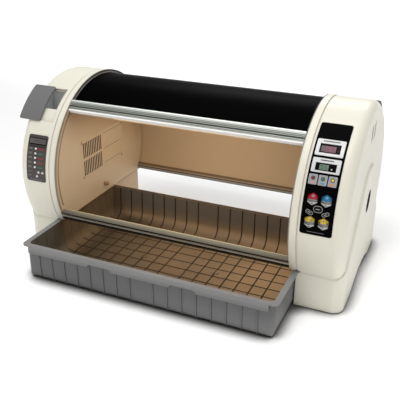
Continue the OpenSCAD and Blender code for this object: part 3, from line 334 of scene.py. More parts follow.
def cream_shell():
    finish = moulded("cream_shell", SHELL, 0.4, drift=0.97, coat=0.15, soften=WORN_RADIUS)
    x, _, z = finish.place()
    wide = abs(x)
    facing_x = finish.node("ShaderNodeSeparateXYZ", None, {0: finish.normal()})
    # The bay's side faces take the chamber's tan as painted warm light.
    bay_side_warm_light = (wide < BAY_X) * (z < BAY_TOP_Z) * (abs(facing_x) > SIDEWAYS)
    tan_and_warm_light = (wide < INNER_X) * (z < INNER_TOP_Z) | bay_side_warm_light
    tint = finish.mix(finish.noise(**DRIFT), darker(SHELL, 0.96), SHELL)
    rubbed = finish.wear(WORN_RADIUS) * finish.noise(**SMUDGE) * WORN_SHARE
    tint = finish.mix(rubbed, tint, paler(SHELL))
    # Painted shade in the air slits, on the outer sides.
    slit_shade = (1.0 - finish.openness(SLIT_W, 0.3, 0.85)) * (wide > OUTER_SIDE_X)
    tint = finish.mix(slit_shade, tint, SLIT_SHADE)
    return finish.feed(Base_Color=finish.mix(tan_and_warm_light, tint, CHAMBER_TAN_AND_WARM_LIGHT))


cream = cream_shell()
print("housing finish:", len(cream.tree.nodes), "nodes")

# %% [markdown]
# The inner walls are tan mouldings too. Their upper and far parts, under the cover, are painted darker as
# shade, so the colour changes along a slope that falls towards the back.

# %% Inner walls
WALL, WALL_SHADE = rgb(202, 180, 150), rgb(176, 146, 112)
WALL_SLOPE, WALL_SHADE_SPAN = 0.35, (200 * MM, 300 * MM)


def inner_wall():
    finish = moulded("tan_wall", WALL, 0.5, drift=0.95)
    _, y, z = finish.place()
    tint = finish.mix(finish.noise(**DRIFT), darker(WALL, 0.95), WALL)
    # Painted shade: darker higher up and further back, under the cover.
    under_cover_shade = finish.ramp(z + y * WALL_SLOPE, *WALL_SHADE_SPAN)
    return finish.feed(Base_Color=finish.mix(under_cover_shade, tint, WALL_SHADE))


tan_wall = inner_wall()
print("wall finish:", len(tan_wall.tree.nodes), "nodes")

# %% [markdown]
# The air panel is a tan plate flush with the left wall. Its slots and engraved lines look dark because
# little light gets into them, so everything behind its face is coloured dark.

# %% Air panel
AIR_PANEL_FACE_X = -250.3 * MM


def slotted_plate():
    finish = moulded("slotted_plate", rgb(198, 170, 137), 0.5, drift=0.95)
    x, _, _ = finish.place()
    face = finish.mix(finish.noise(**DRIFT), rgb(195, 172, 141), rgb(201, 178, 147))
    return finish.feed(Base_Color=finish.mix(x < AIR_PANEL_FACE_X, face, rgb(34, 31, 29)))


air_plate = slotted_plate()
print("air panel finish:", len(air_plate.tree.nodes), "nodes")

# %% [markdown]
# The top cover is a thin black sheet, and the panels are printed films. Black only looks black if it
# mirrors little of the bright surround, so the reflection is kept weak, and a faint waviness with a
# little dust keeps the sheets from looking perfect. The cover's back has more gloss: a clear coat fades
# in past the top, so that its curve can be seen from behind.

# %% Black gloss sheet and panel films
DUST, SPECKS, WAVES = rgb(120, 120, 118), {"scale": 260.0, "detail": 5.0}, 5.0
BACK_DEGREES, BACK_COAT = (116.0, 150.0), 0.3


def gloss_film(name, colour, rough, dust, shine):
    """dust: share of grey specks. shine: specular level."""
    finish = Finish(name, Specular_IOR_Level=shine, Coat_Roughness=0.25)
    specks = finish.noise(**SPECKS)
    finish.feed(Base_Color=finish.mix(specks * dust, colour, DUST), Roughness=around(rough, specks, 0.1),
                Coat_Weight=finish.ramp(finish.drum_angle(), *BACK_DEGREES) * BACK_COAT)
    return finish.bump(finish.noise(WAVES), 0.2, 0.15 * MM, 0.3 * MM)


cover_black = gloss_film("cover_black", rgb(3, 3, 3), 0.3, 0.005, 0.004)
panel_black = gloss_film("panel_black", rgb(4, 4, 4), 0.35, 0.008, 0.012)
panel_grey = gloss_film("panel_grey", rgb(70, 66, 62), 0.42, 0.1, 0.3)
print("films:", [f.material.name for f in (cover_black, panel_black, panel_grey)])

# %% [markdown]
# Rail and handle are drawn aluminium sections. Drawing leaves fine lines along the length, here along
# X, so a noise that is stretched far along X drives both the gloss and the bump. The sections are curved
# finer than the solids show, so painted shade darkens the metal towards its lower edge, and a painted
# highlight gives the rail a pale band at its upper one. Standoffs, inlet pins and the supply's case take
# the same recipe.

# %% Drawn metal
DRAWN_LINES = {"scale": 60.0, "detail": 4.0, "stretch": (0.02, 6.0, 6.0)}
DRAWN_DEPTH, SECTION_EDGE = 0.03 * MM, 0.4 * MM
# Painted shade at the lower edges of rail and handle, and a painted highlight along the rail's top.
RAIL_PAINTED_SHADE = (50.6, rgb(120, 124, 115), 53.8)
RAIL_PAINTED_HIGHLIGHT = [(53.8, 56, rgb(226, 229, 222))]
HANDLE_PAINTED_SHADE = (48.2, rgb(122, 125, 118), 49.6)


def drawn_metal(name, colour, rough, fade=None, bands=()):
    """fade: painted shade: angle and colour at the lower edge, and the angle from which the metal has its own
    colour.
    """
    finish = Finish(name, Metallic=0.55)
    lines = finish.noise(**DRAWN_LINES)
    angle = finish.drum_angle()
    tint = finish.mix(lines, darker(colour, 0.86), colour)
    tint = finish.mix(finish.wear(SECTION_EDGE) * WORN_SHARE, tint, paler(colour))
    # Painted shade towards the lower edge, then painted highlight bands.
    if fade:
        tint = finish.mix(finish.ramp(angle, fade[0], fade[2]), fade[1], tint)
    for low, high, shade in bands:
        tint = finish.mix(between(angle, low, high), tint, shade)
    finish.feed(Base_Color=tint, Roughness=around(rough, lines, 0.25))
    return finish.bump(lines, 0.25, DRAWN_DEPTH, SECTION_EDGE)


rail_metal = drawn_metal("rail_metal", rgb(170, 175, 168), 0.38, RAIL_PAINTED_SHADE, RAIL_PAINTED_HIGHLIGHT)
handle_metal = drawn_metal("handle_metal", rgb(160, 164, 156), 0.4, HANDLE_PAINTED_SHADE)
plain_steel = drawn_metal("plain_steel", rgb(190, 190, 192), 0.35)
brass_metal = drawn_metal("brass_metal", rgb(205, 170, 96), 0.35)
print("metals:", [f.material.name for f in (rail_metal, handle_metal, plain_steel, brass_metal)])

# %% [markdown]
# The front sill is a thick extrusion that the closed door rests on. From front to back it has a dark
# foot, a bright bead between two dark grooves, and a broad olive top that is darker towards the front,
# with a painted tan highlight along its rear edge. The grooves are in the solid; angle and radius tell
# the zones apart.

# %% Front sill
SILL_BEAD, SILL_FACE_TOP = (-23.2, -21.8), -20.3
SILL_TOP_R, SILL_HIGHLIGHT_R = (184 * MM, 197 * MM), 185.6 * MM


def sill_section():
    finish = Finish("sill_section", Metallic=0.1)
    angle, radius = finish.drum_angle(), finish.drum_radius()
    lines = finish.noise(**DRAWN_LINES)
    top = finish.mix(finish.ramp(radius, *SILL_TOP_R), rgb(126, 121, 104), rgb(84, 80, 70))
    # Painted highlight: a tan band along the top's rear edge.
    top = finish.mix(radius < SILL_HIGHLIGHT_R, top, rgb(190, 170, 128))
    face = finish.mix(between(angle, *SILL_BEAD), rgb(36, 33, 28), rgb(216, 208, 192))
    tint = finish.mix(angle < SILL_FACE_TOP, top, face)
    tint = finish.mix(lines * 0.3, tint, darker(rgb(96, 92, 80), 0.8))
    finish.feed(Base_Color=tint, Roughness=around(0.5, lines, 0.2))
    return finish.bump(lines, 0.2, DRAWN_DEPTH, SECTION_EDGE)


sill_metal = sill_section()
print("sill finish:", len(sill_metal.tree.nodes), "nodes")

# %% [markdown]
# The liner is a bent sheet with a seam near each end, and the rear sill carries it. The sill is tan like
# the liner, with a dark foot and one bright line, so both come from one recipe with a few bands.

# %% Liner and rear sill
SEAM_X, SEAM_HALF, SHEET_END_X = 245.2 * MM, 0.5 * MM, 249.2 * MM
REAR_SILL_BANDS = [
    # The top band is a painted highlight along the sill's upper edge.
    (89.4, 91.5, rgb(160, 140, 116)),
    (87.2, 89.4, rgb(66, 60, 50)),
    (83.5, 87.2, rgb(134, 129, 123)),
    (80.0, 83.5, rgb(62, 58, 54)),
]


def bent_sheet(name, colour, bands=()):
    """bands: lower and upper height in millimetres, and colour."""
    finish = Finish(name)
    x, _, z = finish.place()
    broad = finish.noise(**DRIFT)
    tint = finish.mix(broad, darker(colour, 0.92), colour)
    end = near(abs(x), SEAM_X, SEAM_HALF) | (abs(x) > SHEET_END_X)
    tint = finish.mix(end * 0.55, tint, rgb(74, 52, 30))
    for low, high, shade in bands:
        tint = finish.mix(between(z, low * MM, high * MM), tint, shade)
    finish.feed(Base_Color=tint, Roughness=around(0.45, broad, 0.15))
    return finish.bump(finish.noise(900.0), 0.3, 0.02 * MM)


liner_tan = bent_sheet("liner_tan", rgb(190, 163, 130))
rear_tan = bent_sheet("rear_tan", rgb(112, 86, 60), REAR_SILL_BANDS)
print("sheets:", [f.material.name for f in (liner_tan, rear_tan)])

# %% [markdown]
# Rubber is dull and slightly dusty. The feet, the strips along the rims and the door's seal use it. The
# strips beside the open chamber are painted paler and warmer, as warm light from the walls, and those
# beside the black cover keep a darker colour, so their colour changes with the angle up the drum.

# %% Rubber
COVER_EDGE_DEGREES = 54.0
RUBBER_DUST = {"scale": 140.0, "detail": 5.0}


def rubber(name, low, high):
    """low and high: colour below and above the cover's edge."""
    finish = Finish(name)
    dust = finish.noise(**RUBBER_DUST)
    colour = finish.mix(finish.drum_angle() > COVER_EDGE_DEGREES, low, high)
    finish.feed(Base_Color=finish.mix(dust * 0.3, colour, darker(low, 0.8)),
                Roughness=around(0.72, dust, 0.2))
    return finish.bump(dust, 0.4, 0.05 * MM)


FOOT_DARK, SEAL_WHITE = rgb(46, 46, 46), rgb(252, 251, 248)
dark_rubber = rubber("dark_rubber", FOOT_DARK, FOOT_DARK)
# Below the cover's edge, the strips' colour is painted warm light from the chamber walls.
rim_gasket = rubber("rim_gasket", rgb(146, 134, 116), rgb(62, 61, 58))
rim_bead = rubber("rim_bead", rgb(196, 176, 148), rgb(150, 148, 142))
white_rubber = rubber("white_rubber", SEAL_WHITE, SEAL_WHITE)
print("rubbers:", [f.material.name for f in (dark_rubber, rim_gasket, rim_bead, white_rubber)])

# %% [markdown]
# The tray is one grey moulding, and inside it is painted brown as the chamber's warm light falling on it.
# Object coordinates tell inside from outside: the dividing surface runs in the middle of the walls, leans
# with them, goes round the corners and cuts the cove between wall and floor. The grid lines are grooves
# in the solid and are painted dark, so the same pitch as in the solid gives their mask.

# %% Tray: inside and grid
TRAY_MID_Y = -78 * MM
TRAY_FLOOR_X, TRAY_FLOOR_Y, TRAY_FLOOR_Z = 245.5 * MM, 147.5 * MM, 4.2 * MM
TRAY_WALL_MID, TRAY_WALL_LEAN = 12 * MM, 0.0277
COVE_X, COVE_Y = 245 * MM, 147 * MM
INSIDE_Z = (3.0 * MM, 76.4 * MM)
RIB_PITCH, RIB_BAY = 29.4 * MM, 49.0 * MM
LINE_X_SHARE, LINE_Y_SHARE = 0.05, 0.055
GRID_X, GRID_Y, GRID_TOP_Z = (20 * MM, 244 * MM), 146 * MM, 8 * MM


def tray_inside(finish):
    """1 on the tray's inner faces."""
    x, y, z = finish.place()
    wide, deep = abs(x), abs(y - TRAY_MID_Y)
    lean = (z - TRAY_FLOOR_Z) * TRAY_WALL_LEAN
    past_x = (wide - lean - TRAY_FLOOR_X) | 0.0
    past_y = (deep - lean - TRAY_FLOOR_Y) | 0.0
    in_walls = length_of(past_x, past_y) < TRAY_WALL_MID
    over_cove = (wide - z < COVE_X) * (deep - z < COVE_Y)
    return in_walls * over_cove * between(z, *INSIDE_Z)


def tray_grid(finish):
    """1 on the grooves across the floor and up the walls."""
    x, y, z = finish.place()
    wide, along = abs(x), y - TRAY_MID_Y
    step = (wide - RIB_BAY / 2) / RIB_PITCH
    row = along / RIB_PITCH + 0.5
    line_x = near(step, step.maths("ROUND", step), LINE_X_SHARE) * between(wide, *GRID_X)
    line_y = near(row, row.maths("ROUND", row), LINE_Y_SHARE) * (abs(along) < GRID_Y) * (z < GRID_TOP_Z)
    return line_x | line_y


print("grid lines from front to back:", 2 * int((GRID_X[1] - RIB_BAY / 2) / RIB_PITCH + 1))

# %% [markdown]
# Inside, the brown is painted warm light from the chamber and the warm walls above it. It is painted
# darkest on the left, where the housing shades it, and lightest on the right, and on the left wall the
# warm light is painted only towards the back. Each tone change is a ramp along one axis of the tray.

# %% Tray: brown inside
SHADED_X, BRIGHT_X = (-260 * MM, 20 * MM), (20 * MM, 240 * MM)
COVE_RISE_Z, WALL_RISE_Z = (5 * MM, 20 * MM), (8 * MM, 52 * MM)
LEFT_END_X, LEFT_WALL_Y = (205 * MM, 245 * MM), (-170 * MM, -100 * MM)


def tray_painted_warm_light(finish, broad):
    x, y, z = finish.place()
    # Painted warm light and shade on the grey plastic, darkest on the left.
    ground = finish.mix(finish.ramp(x, *SHADED_X), rgb(60, 51, 38), rgb(124, 102, 76))
    ground = finish.mix(finish.ramp(x, *BRIGHT_X), ground, rgb(170, 140, 103))
    wall = finish.mix(finish.ramp(z, *WALL_RISE_Z), rgb(166, 138, 104), rgb(114, 107, 97))
    brown = finish.mix(finish.ramp(z, *COVE_RISE_Z), ground, wall)
    left_wall = finish.mix(finish.ramp(y, *LEFT_WALL_Y), rgb(92, 91, 84), rgb(106, 89, 67))
    brown = finish.mix(finish.ramp(0.0 - x, *LEFT_END_X), brown, left_wall)
    return finish.mix(broad * 0.35, brown, rgb(92, 76, 56))


print("brown zones along X, mm:", [round(v / MM) for v in SHADED_X + BRIGHT_X])

# %% [markdown]
# Outside, the rim and the lip are paler than the body, and the lip is painted darker towards its lower
# edge as shade. The body gets painted shade where a face is closed in, which gives a dark line under the
# lip, and is painted paler towards the floor, where the pale ground throws light back. The rim's rear edge
# is dark brown: partly a stain, partly painted shade from the cabinet above it.

# %% Tray: grey outside
LIP_BACK_Y, RIM_FOOT_Z, LIP_RISE_Z = -245.5 * MM, 71.5 * MM, (62 * MM, 74 * MM)
REAR_RIM_Y = (70 * MM, 85 * MM)
BOUNCE_Z, BOUNCE_X, BOUNCE_LEAST = (0.0, 62 * MM), (-150 * MM, 270 * MM), 0.2
LIP_SHADE_REACH, TRAY_EDGE = 6 * MM, 1.2 * MM


def tray_body(finish, broad):
    x, _, z = finish.place()
    body = finish.mix(broad, rgb(83, 83, 84), rgb(93, 93, 94))
    # Painted light thrown back by the floor: paler towards the bottom.
    along = finish.ramp(x, *BOUNCE_X) * (1 - BOUNCE_LEAST) + BOUNCE_LEAST
    body = finish.mix((1.0 - finish.ramp(z, *BOUNCE_Z)) * along, body, rgb(120, 120, 120))
    # Painted shade where a face is closed in, as under the lip.
    return finish.mix(finish.openness(LIP_SHADE_REACH, 0.35, 0.95), rgb(52, 52, 53), body)


def tray_rim(finish, broad):
    _, y, z = finish.place()
    rim = finish.mix(broad, rgb(120, 120, 120), rgb(130, 130, 130))
    # Painted shade: the lip darker towards its lower edge.
    rim = finish.mix(finish.ramp(z, *LIP_RISE_Z), rgb(108, 108, 108), rim)
    # The rear edge: partly a stain, partly painted shade under the cabinet.
    return finish.mix(finish.ramp(y, *REAR_RIM_Y), rim, rgb(78, 64, 50))


def tray_plastic():
    finish = Finish("tray_plastic")
    _, y, z = finish.place()
    broad = finish.noise(14.0, 4.0)
    inside = tray_inside(finish)
    on_rim = (z > RIM_FOOT_Z) | (y < LIP_BACK_Y)
    outside = finish.mix(on_rim, tray_body(finish, broad), tray_rim(finish, broad))
    tint = finish.mix(inside, outside, tray_painted_warm_light(finish, broad))
    tint = finish.mix(finish.wear(TRAY_EDGE) * broad * 0.35, tint, rgb(166, 165, 162))
    # The grooves are painted dark brown.
    tint = finish.mix(tray_grid(finish) * inside * 0.95, tint, rgb(42, 28, 15))
    finish.feed(Base_Color=tint, Roughness=around(0.46, broad, 0.2))
    return finish.bump(finish.noise(700.0), 0.4, 0.04 * MM, TRAY_EDGE)


tray_grey = tray_plastic()
print("tray finish:", len(tray_grey.tree.nodes), "nodes")

# %% [markdown]
# The raised door is a clear curved pane. Real acrylic lets light straight through and shows itself by
# its edges and reflections, so the shader transmits and has a weak tint with a few fine scratches.

# %% Clear pane
SCRATCHES = {"scale": 90.0, "detail": 6.0, "stretch": (0.05, 3.0, 3.0)}


def clear_sheet():
    finish = Finish("clear_pane", Base_Color=rgb(236, 242, 240), Transmission_Weight=1.0, IOR=1.49)
    return finish.feed(Roughness=0.03 + finish.noise(**SCRATCHES) * 0.05)


clear_pane = clear_sheet()
print("pane finish:", len(clear_pane.tree.nodes), "nodes")

# %% [markdown]
# Each display is a dark window with a liquid-crystal field in it. The field is a rectangle on the drum,
# so the mask is made from X and the drum angle. Small coloured marks stand where units are printed.

# %% Displays
WINDOW_BLACK, HAZE = rgb(8, 7, 8), {"scale": 120.0, "detail": 3.0}
WARM_FIELD, WARM_MARK = (281.4, 307.4, 44.4, 47.8), (310.5, 312.5, 45.1, 45.9)
DAMP_FIELD, DAMP_MARK = (285.5, 302.0, 34.6, 37.5), (306.5, 309.0, 35.1, 35.7)
LEFT_FIELD, LEFT_MARK = (-316.0, -277.0, 23.4, 26.6), (-300.0, -299.0, 24.5, 25.5)


def on_window(finish, box):
    """1 in a rectangle on the drum: from and to along X in millimetres, from and to in degrees."""
    x, _, _ = finish.place()
    return between(x, box[0] * MM, box[1] * MM) * between(finish.drum_angle(), box[2], box[3])


def display(name, field_box, field, tinge, mark_box, mark):
    """The field's colour turns to its tinge over the left half."""
    finish = Finish(name, Specular_IOR_Level=0.04)
    x, _, _ = finish.place()
    haze = finish.noise(**HAZE)
    left, right = field_box[0] * MM, field_box[1] * MM
    glow = finish.mix(finish.ramp(x, left, (left + right) / 2), field, tinge)
    glow = finish.mix(haze * 0.4, glow, darker(field, 0.7))
    tint = finish.mix(on_window(finish, field_box), WINDOW_BLACK, glow)
    tint = finish.mix(on_window(finish, mark_box), tint, mark)
    return finish.feed(Base_Color=tint, Roughness=0.22 + haze * 0.08)


warm_display = display("warm_display", WARM_FIELD, rgb(108, 106, 104), rgb(150, 104, 118),
                       WARM_MARK, rgb(126, 44, 50))
damp_display = display("damp_display", DAMP_FIELD, rgb(104, 124, 110), rgb(116, 138, 120),
                       DAMP_MARK, rgb(206, 206, 200))
left_screen = display("left_screen", LEFT_FIELD, rgb(104, 102, 98), rgb(96, 94, 92),
                      LEFT_MARK, rgb(60, 58, 56))
print("displays:", [f.material.name for f in (warm_display, damp_display, left_screen)])

# %% [markdown]
# Lamps are small coloured lenses. A hint of the lens's own colour as emission makes them read as lit
# without lighting up the panel round them.

# %% Lamp lenses


def lens(name, colour, glow):
    finish = Finish(name, Coat_Weight=0.7, Coat_Roughness=0.05, Emission_Strength=glow)
    cloud = finish.noise(600.0)
    tint = finish.mix(cloud, darker(colour, 0.8), colour)
    return finish.feed(Base_Color=tint, Emission_Color=tint, Roughness=0.15 + cloud * 0.1)


red_lens = lens("red_lens", rgb(136, 24, 38), 0.08)
green_lens = lens("green_lens", rgb(28, 112, 84), 0.12)
amber_lens = lens("amber_lens", rgb(232, 196, 70), 0.2)
white_lens = lens("white_lens", rgb(236, 236, 234), 0.05)
print("lenses:", [f.material.name for f in (red_lens, green_lens, amber_lens, white_lens)])

# %% [markdown]
# The six-sided keys are printed domes: a coloured upper half, a grey band with a dark stripe below it, and
# a white tip with a small mark. The zones are told apart by the place up the drum and across. The film
# is glossy, and the dome is rounder than the solid, so a bump gives each key its small bright highlight.
# The yellow keys also have a few plain dots and bars.

# %% Printed keys
HEAT, MIST, FAN, LIGHT = (0.285, 0.304), (0.71, 0.304), (0.285, 0.111), (0.71, 0.111)
KEY_GRAIN = {"scale": 300.0, "detail": 3.0}
KEY_SHADE_R, PRINT_HALF_W = (4 * MM, 9.5 * MM), 8.7 * MM
STRIPE_DROP, STRIPE_HALF = 2.4 * MM, 0.4 * MM
TIP_DROP, TIP_SLOPE, TIP_LINE_HALF = 5.6 * MM, 0.22, 0.35 * MM
MARK_UP, MARK_HALF_W, MARK_HALF_H = -8.0 * MM, 1.6 * MM, 0.6 * MM
DOME_CURVE, DOME_HEIGHT = -12000.0, 4 * MM
HIGH_SPLIT, LOW_SPLIT = 0.8 * MM, -0.8 * MM
FAN_DOTS = [(1.4, 5.4, 1.7, 0.7), (3.6, 2.4, 2.2, 0.7)]
LIGHT_DOTS = [(0.0, 5.6, 1.2, 1.2), (-6.6, 2.0, 1.4, 1.2), (6.6, 2.0, 1.4, 1.2)]


def from_key(finish, shares):
    """Distances across and up the drum from a key's centre."""
    x, _, _ = finish.place()
    up = (finish.drum_angle() - right_deg(shares[1])) * (math.radians(1) * BODY_R)
    return x - right_x(shares[0]), up


def hex_key(name, colour, shares, split, dots=()):
    """split: where the colour ends. dots: place across and up, half width and half height, in mm."""
    finish = Finish(name, Specular_IOR_Level=0.7)
    across, up = from_key(finish, shares)
    grain = finish.noise(**KEY_GRAIN)
    top = finish.mix(grain, darker(colour, 0.86), colour)
    # Painted shade: the coloured half darkens towards the key's rim, as on a lit dome.
    dome_shade = finish.ramp(length_of(across, up), *KEY_SHADE_R)
    top = finish.mix(dome_shade * 0.55, top, darker(colour, 0.4))
    for dot_x, dot_up, half_w, half_h in dots:
        dot = near(across, dot_x * MM, half_w * MM) * near(up, dot_up * MM, half_h * MM)
        top = finish.mix(dot, top, rgb(38, 34, 20))
    over_tip = up - TIP_SLOPE * abs(across) + TIP_DROP
    tint = finish.mix(up < split, top, rgb(122, 120, 118))
    tint = finish.mix(near(up, split - STRIPE_DROP, STRIPE_HALF), tint, rgb(70, 69, 68))
    tint = finish.mix(over_tip < 0.0, tint, rgb(206, 205, 202))
    tint = finish.mix(near(over_tip, 0.0, TIP_LINE_HALF), tint, rgb(60, 59, 58))
    mark = near(across, 0.0, MARK_HALF_W) * near(up, MARK_UP, MARK_HALF_H)
    tint = finish.mix(mark | (abs(across) > PRINT_HALF_W), tint, rgb(24, 24, 25))
    dome = (across * across + up * up) * DOME_CURVE + grain * 0.01
    return finish.feed(Base_Color=tint, Roughness=0.12 + grain * 0.06).bump(dome, 1.0, DOME_HEIGHT)


heat_print = hex_key("heat_print", rgb(162, 8, 34), HEAT, LOW_SPLIT)
mist_print = hex_key("mist_print", rgb(10, 112, 158), MIST, LOW_SPLIT)
fan_print = hex_key("fan_print", rgb(216, 182, 52), FAN, HIGH_SPLIT, FAN_DOTS)
light_print = hex_key("light_print", rgb(216, 182, 52), LIGHT, HIGH_SPLIT, LIGHT_DOTS)
print("printed keys:", [f.material.name for f in (heat_print, mist_print, fan_print, light_print)])

# %% [markdown]
# The oval key and the two slanted keys are black with a thin white outline. An outline at a constant
# distance from the rim of a round-ended slot needs the distance to the slot's middle line: fold the
# length onto itself, cut off the straight part, and take the length of what is left.

# %% Outlined keys
LINE_FROM_RIM = (0.9 * MM, 0.3 * MM)
DASH_SHARE, DASH_HALF = 0.2, 0.45 * MM


def outlined_key(name, shares, length, width, lean):
    """length and width of the key, and its lean in degrees."""
    finish = Finish(name, Specular_IOR_Level=0.05)
    across, up = from_key(finish, shares)
    cosine, sine = math.cos(math.radians(lean)), math.sin(math.radians(lean))
    along = across * cosine + up * sine
    beside = up * cosine - across * sine
    past = (abs(along) - (length - width) / 2) | 0.0
    inner, outer = (width / 2 - v for v in LINE_FROM_RIM)
    line = between(length_of(past, beside), inner, outer)
    dash = (abs(along) < length * DASH_SHARE) * (abs(beside) < DASH_HALF)
    specks = finish.noise(**KEY_GRAIN)
    tint = finish.mix(specks * 0.06, rgb(16, 16, 17), rgb(110, 110, 108))
    tint = finish.mix(line | dash, tint, rgb(190, 190, 186))
    return finish.feed(Base_Color=tint, Roughness=0.26 + specks * 0.1)


set_print = outlined_key("set_print", (0.495, 0.226), 17 * MM, 12 * MM, 0)
down_print = outlined_key("down_print", (0.245, 0.193), 14 * MM, 7 * MM, -25)
up_print = outlined_key("up_print", (0.745, 0.193), 14 * MM, 7 * MM, 25)
print("outlined keys:", [f.material.name for f in (set_print, down_print, up_print)])

# %% [markdown]
# Every solid now gets its finish. A table from finish to nodes keeps this in one place, and a loop that
# reports what is left over makes sure that no solid is forgotten.

# %% Dress the solids
DRESS = [
    (cream, "left_housing right_housing"),
    (tan_wall, "left_inner_wall right_inner_wall"),
    (air_plate, "air_panel"),
    (probe_brown, "temperature_probe air_panel_screws"),
    (liner_tan, "inner_liner"),
    (cover_black, "top_cover"),
    (rail_metal, "cover_rail"),
    (handle_metal, "door_handle"),
    (sill_metal, "front_sill"),
    (rear_tan, "rear_sill"),
    (dark_moulding, "hand_cups fan_frame fan_rotor mist_maker power_inlet switch_frame"),
    (heater_black, "heater"),
    (dark_rubber, "rubber_feet"),
    (rim_gasket, "edge_gaskets"),
    (rim_bead, "edge_beads"),
    (white_rubber, "door_seal"),
    (clear_pane, "door_pane"),
    (tray_grey, "tray"),
    (lid_grey, "water_lid rear_lid"),
    (panel_grey, "left_panel"),
    (panel_black, "right_panel"),
    (left_screen, "left_display"),
    (white_lens, "left_lamps"),
    (white_gloss, "temperature_bezel humidity_bezel mode_key less_key more_key"),
    (warm_display, "temperature_display"),
    (damp_display, "humidity_display"),
    (silver_tile, "indicator_tiles"),
    (red_lens, "red_lamp power_rocker"),
    (green_lens, "green_lamp"),
    (amber_lens, "amber_lamp"),
    (heat_print, "heat_key"),
    (mist_print, "mist_key"),
    (fan_print, "fan_key"),
    (light_print, "light_key"),
    (set_print, "set_key"),
    (down_print, "down_key"),
    (up_print, "up_key"),
    (tank_white, "water_tank rear_tank"),
    (board_green, "control_board"),
    (brass_metal, "board_standoffs inlet_pins"),
    (plain_steel, "power_supply"),
]
undressed = set(nodes)
for finish, names in DRESS:
    for name in names.split():
        nodes[name].data.materials.clear()
        nodes[name].data.materials.append(finish.material)
        undressed.discard(name)
print("solids without a finish:", sorted(undressed))

# %% [markdown]
# Printed legends are too thin to matter as solids, but they make a panel look real. Each is a plate a few
# tenths of a millimetre thick with a softened rim, laid on the drum. All plates of one colour share a
# mesh, so a panel's print is a handful of pieces and not dozens.

# %% Thin plates on the drum
PLATE_T, PLATE_RIM_SHARE = 0.3 * MM, 0.3


def top_radius(name):
    """How far a solid reaches from the drum's axis."""
    return max(math.hypot(v.co.y - AXIS_Y, v.co.z - AXIS_Z) for v in nodes[name].data.vertices)


def as_object(name, shape, finish):
    """Turn a bmesh into an object with a finish."""
    mesh = bpy.data.meshes.new(name)
    shape.to_mesh(mesh)
    shape.free()
    mesh.materials.append(finish.material)
    piece = bpy.data.objects.new(name, mesh)
    bpy.context.scene.collection.objects.link(piece)
    return piece


def laid_plates(name, places, finish):
    """One mesh of thin plates on the drum: each place is x, degrees, width, height and base radius."""
    shape = bmesh.new()
    for x, degrees, width, height, base in places:
        size = Matrix.Diagonal((width, height, PLATE_T, 1))
        made = bmesh.ops.create_cube(shape, size=1, matrix=on_drum(x, degrees, base + PLATE_T / 2) @ size)
        edges = {e for v in made["verts"] for e in v.link_edges}
        bmesh.ops.bevel(shape, geom=list(edges), offset=PLATE_T * PLATE_RIM_SHARE, segments=2, profile=0.5,
                        affect="EDGES", material=-1)
    piece = as_object(name, shape, finish)
    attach(piece, "cabinet")
    return piece


BEZEL_TOP, TILE_TOP = top_radius("temperature_bezel"), top_radius("indicator_tiles")
print("tops above the drum, mm:", [round((top - BODY_R) / MM, 2) for top in (BEZEL_TOP, TILE_TOP)])

# %% [markdown]
# No words are printed: a bar of the right size stands where a legend would be. On the left panel there
# are two lines beside each lamp and a coloured tag after it, a line at the foot and a dark strip under
# the display.

# %% Legends on the left panel
LAMP_DEGREES = (8.93, 11.8, 14.7, 17.4, 20.3)
RED_ROWS, TEAL_ROWS = (1, 2, 4), (0, 3)
KEY_DEGREES, FOOT_DEGREES, STRIP_DEGREES = (3.46, 6.05), 1.1, 21.75
LINE_SHIFTS = (-0.32, 0.32)
LEFT_MID_X, LEGEND_X, KEY_LEGEND_X, TAG_X = -296.5 * MM, -311.5 * MM, -312 * MM, -286.5 * MM
LEGEND_W, KEY_LEGEND_W, LEGEND_H = 8 * MM, 7 * MM, 0.8 * MM
TAG_W, RED_TAG_H, TEAL_TAG_H = 12 * MM, 3 * MM, 2.4 * MM
FOOT_W, FOOT_H = 30 * MM, 0.6 * MM
STRIP_W, STRIP_H = 40 * MM, 2.4 * MM

left_lines = [(LEGEND_X, lamp + shift, LEGEND_W, LEGEND_H, PANEL_TOP)
              for lamp in LAMP_DEGREES for shift in LINE_SHIFTS]
left_lines += [(KEY_LEGEND_X, key, KEY_LEGEND_W, LEGEND_H, PANEL_TOP) for key in KEY_DEGREES]
left_lines.append((LEFT_MID_X, FOOT_DEGREES, FOOT_W, FOOT_H, PANEL_TOP))
red_tags = [(TAG_X, LAMP_DEGREES[i], TAG_W, RED_TAG_H, PANEL_TOP) for i in RED_ROWS]
teal_tags = [(TAG_X, LAMP_DEGREES[i], TAG_W, TEAL_TAG_H, PANEL_TOP) for i in TEAL_ROWS]
dark_strip = [(LEFT_MID_X, STRIP_DEGREES, STRIP_W, STRIP_H, PANEL_TOP)]
print("left bars:", [len(bars) for bars in (left_lines, red_tags, teal_tags, dark_strip)])

# %% [markdown]
# The right panel has a line of small type at its foot, a legend above each display, and a coloured bar
# under the lamp of each tile. A longer legend is a row of short bars, which from a step away looks like
# a line of type.

# %% Legends on the right panel
RIGHT_MID_X = 297.2 * MM
SMALL_TYPE = {"count": 9, "degrees": 1.9, "pitch": 3.4 * MM, "size": (2.6 * MM, 0.7 * MM), "base": PANEL_TOP}
BEZEL_TYPE = {"pitch": 2.9 * MM, "size": (2.5 * MM, 2.0 * MM), "base": BEZEL_TOP}
TILE_SHARES, TILE_BAR_DEGREES = (0.187, 0.487, 0.787), 27.6
TILE_BAR = (7.4 * MM, 2.9 * MM, TILE_TOP)


def type_line(count, degrees, pitch, size, base):
    """Places of a row of short bars about the panel's middle."""
    return [(RIGHT_MID_X + (i - (count - 1) / 2) * pitch, degrees, *size, base) for i in range(count)]


